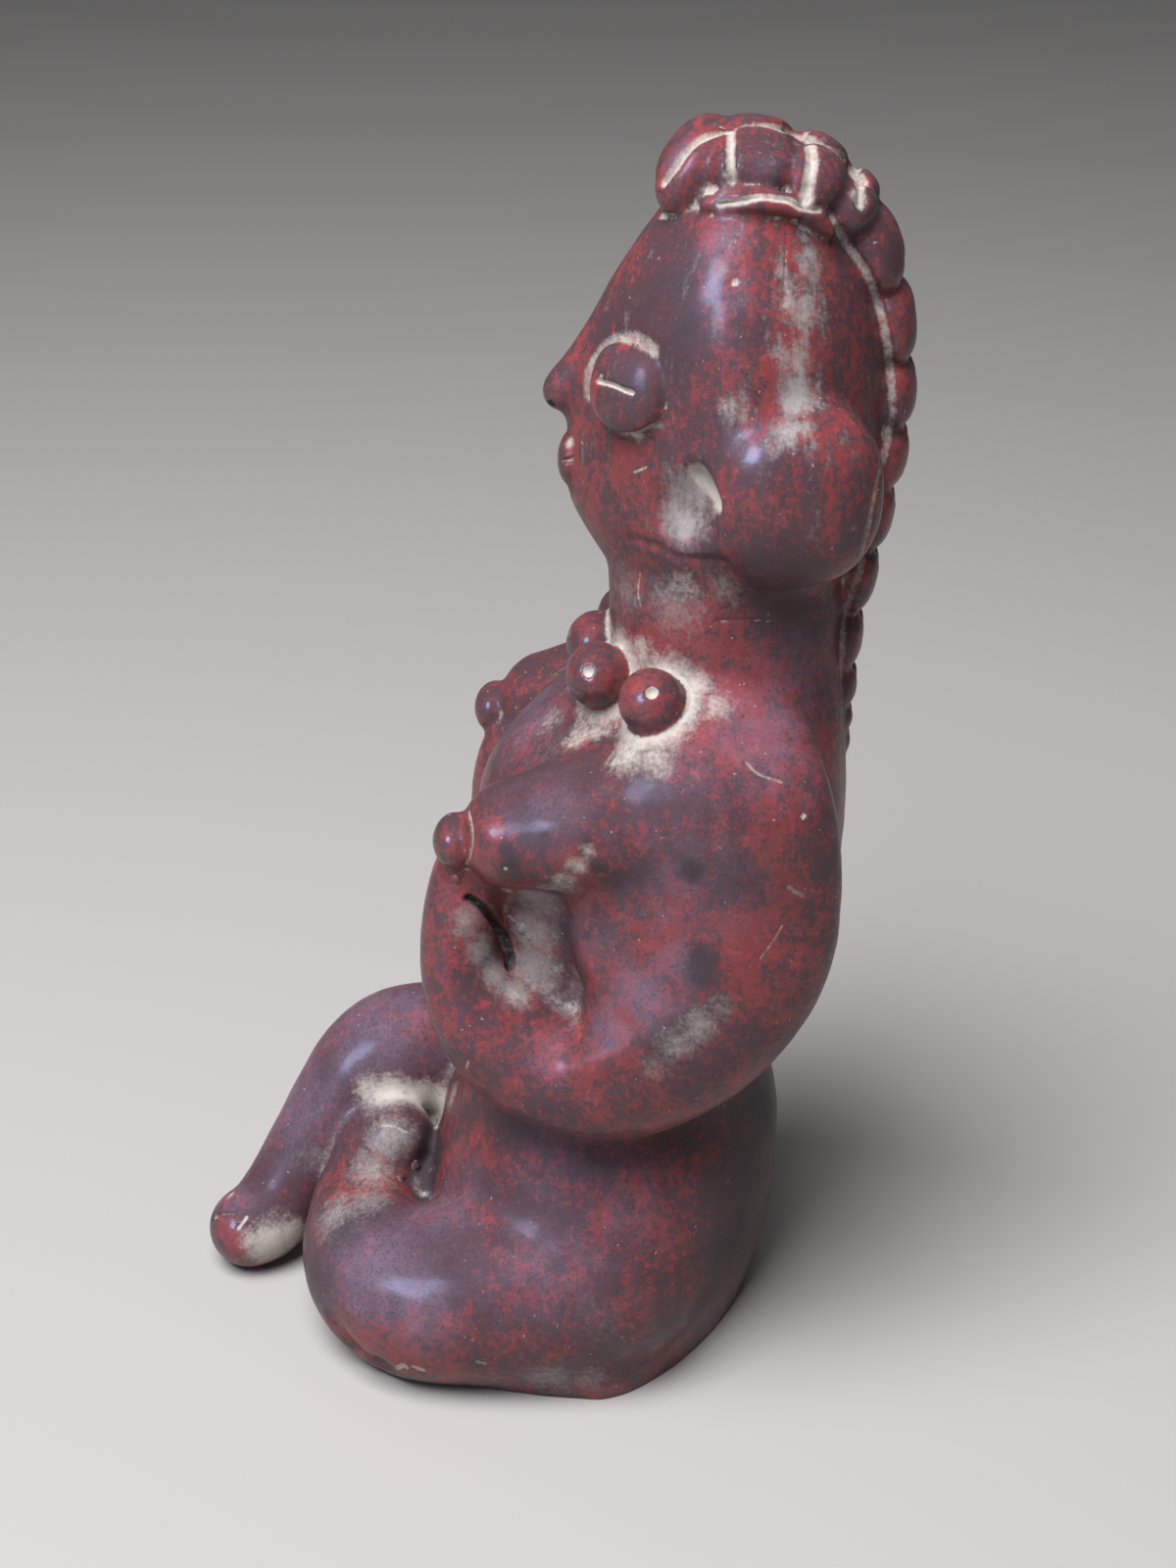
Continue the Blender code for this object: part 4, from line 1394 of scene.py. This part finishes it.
class FIGURE_OT_stage(bpy.types.Operator):
    """Set the plain floor, the soft lights and the camera"""

    bl_idname = "figure.stage"
    bl_label = "Set Stage"

    def execute(self, context):
        stage = context.scene.figure_stage
        self.lay_floor(context, stage)
        self.hang_light(context, "window", *WINDOW, stage.window_power).visible_diffuse = False
        self.hang_light(context, "light above", *LIGHT_ABOVE, stage.above_power).visible_glossy = False
        self.light_sky(context, stage)
        self.set_camera(context, stage)
        return {"FINISHED"}

    def lay_floor(self, context, stage):
        def square(bm):
            bmesh.ops.create_grid(bm, x_segments=1, y_segments=1, size=stage.floor_size / 2)

        mesh = mesh_from([square], "floor")
        mesh.materials.append(plain_material("pale floor", stage.floor_colour, FLOOR_ROUGHNESS))
        floor = put_in_scene(context, "floor", mesh)
        floor.location.z = CAD_LOW.z

    def hang_light(self, context, name, place, size, tint, power):
        """Hangs a square light that faces what the camera aims at."""
        light = bpy.data.lights.new(name, "AREA")
        light.energy = power
        light.size = size
        light.color = tint
        lamp = put_in_scene(context, name, light)
        lamp.location = place
        aim = Vector((0, 0, context.scene.figure_stage.aim_height))
        lamp.rotation_euler = (Vector(place) - aim).to_track_quat("Z", "Y").to_euler()
        return lamp

    def light_sky(self, context, stage):
        world = bpy.data.worlds.new("plain sky")
        world.use_nodes = True
        sky = world.node_tree.nodes["Background"]
        sky.inputs["Color"].default_value = opaque(SKY_COLOUR)
        sky.inputs["Strength"].default_value = stage.sky_strength
        context.scene.world = world
        context.scene.view_settings.view_transform = "Standard"

    def set_camera(self, context, stage):
        camera = bpy.data.cameras.new("camera")
        camera.sensor_width = SENSOR_WIDTH
        camera.lens = camera.sensor_width * PHOTO_FOCUS / PHOTO_HIGH
        camera.clip_start = NEAREST_SEEN
        holder = put_in_scene(context, "camera", camera)
        holder.location = camera_place(stage)
        holder.rotation_euler = camera_turn(stage).to_euler()
        context.scene.camera = holder


class FIGURE_PT_panel(bpy.types.Panel):
    """The figure's sizes, colours and steps"""

    bl_label = "Terracotta Figure"
    bl_idname = "FIGURE_PT_panel"
    bl_space_type = "VIEW_3D"
    bl_region_type = "UI"
    bl_category = "Figure"

    def draw(self, context):
        for group in (context.scene.figure_sizes, context.scene.figure_colours, context.scene.figure_stage):
            box = self.layout.box()
            for name in group.bl_rna.properties.keys():
                if name not in ("rna_type", "name"):
                    box.prop(group, name)
        self.layout.operator("figure.model")
        self.layout.operator("figure.stage")


CLASSES = (FigureSizes, FinishColours, StageSizes, FIGURE_OT_model, FIGURE_OT_stage, FIGURE_PT_panel)


def register():
    for item in CLASSES:
        bpy.utils.register_class(item)
    bpy.types.Scene.figure_sizes = bpy.props.PointerProperty(type=FigureSizes)
    bpy.types.Scene.figure_colours = bpy.props.PointerProperty(type=FinishColours)
    bpy.types.Scene.figure_stage = bpy.props.PointerProperty(type=StageSizes)


def unregister():
    del bpy.types.Scene.figure_stage
    del bpy.types.Scene.figure_colours
    del bpy.types.Scene.figure_sizes
    for item in reversed(CLASSES):
        bpy.utils.unregister_class(item)


def main():
    register()
    bpy.ops.figure.model()
    bpy.ops.figure.stage()


if __name__ == "__main__":
    main()
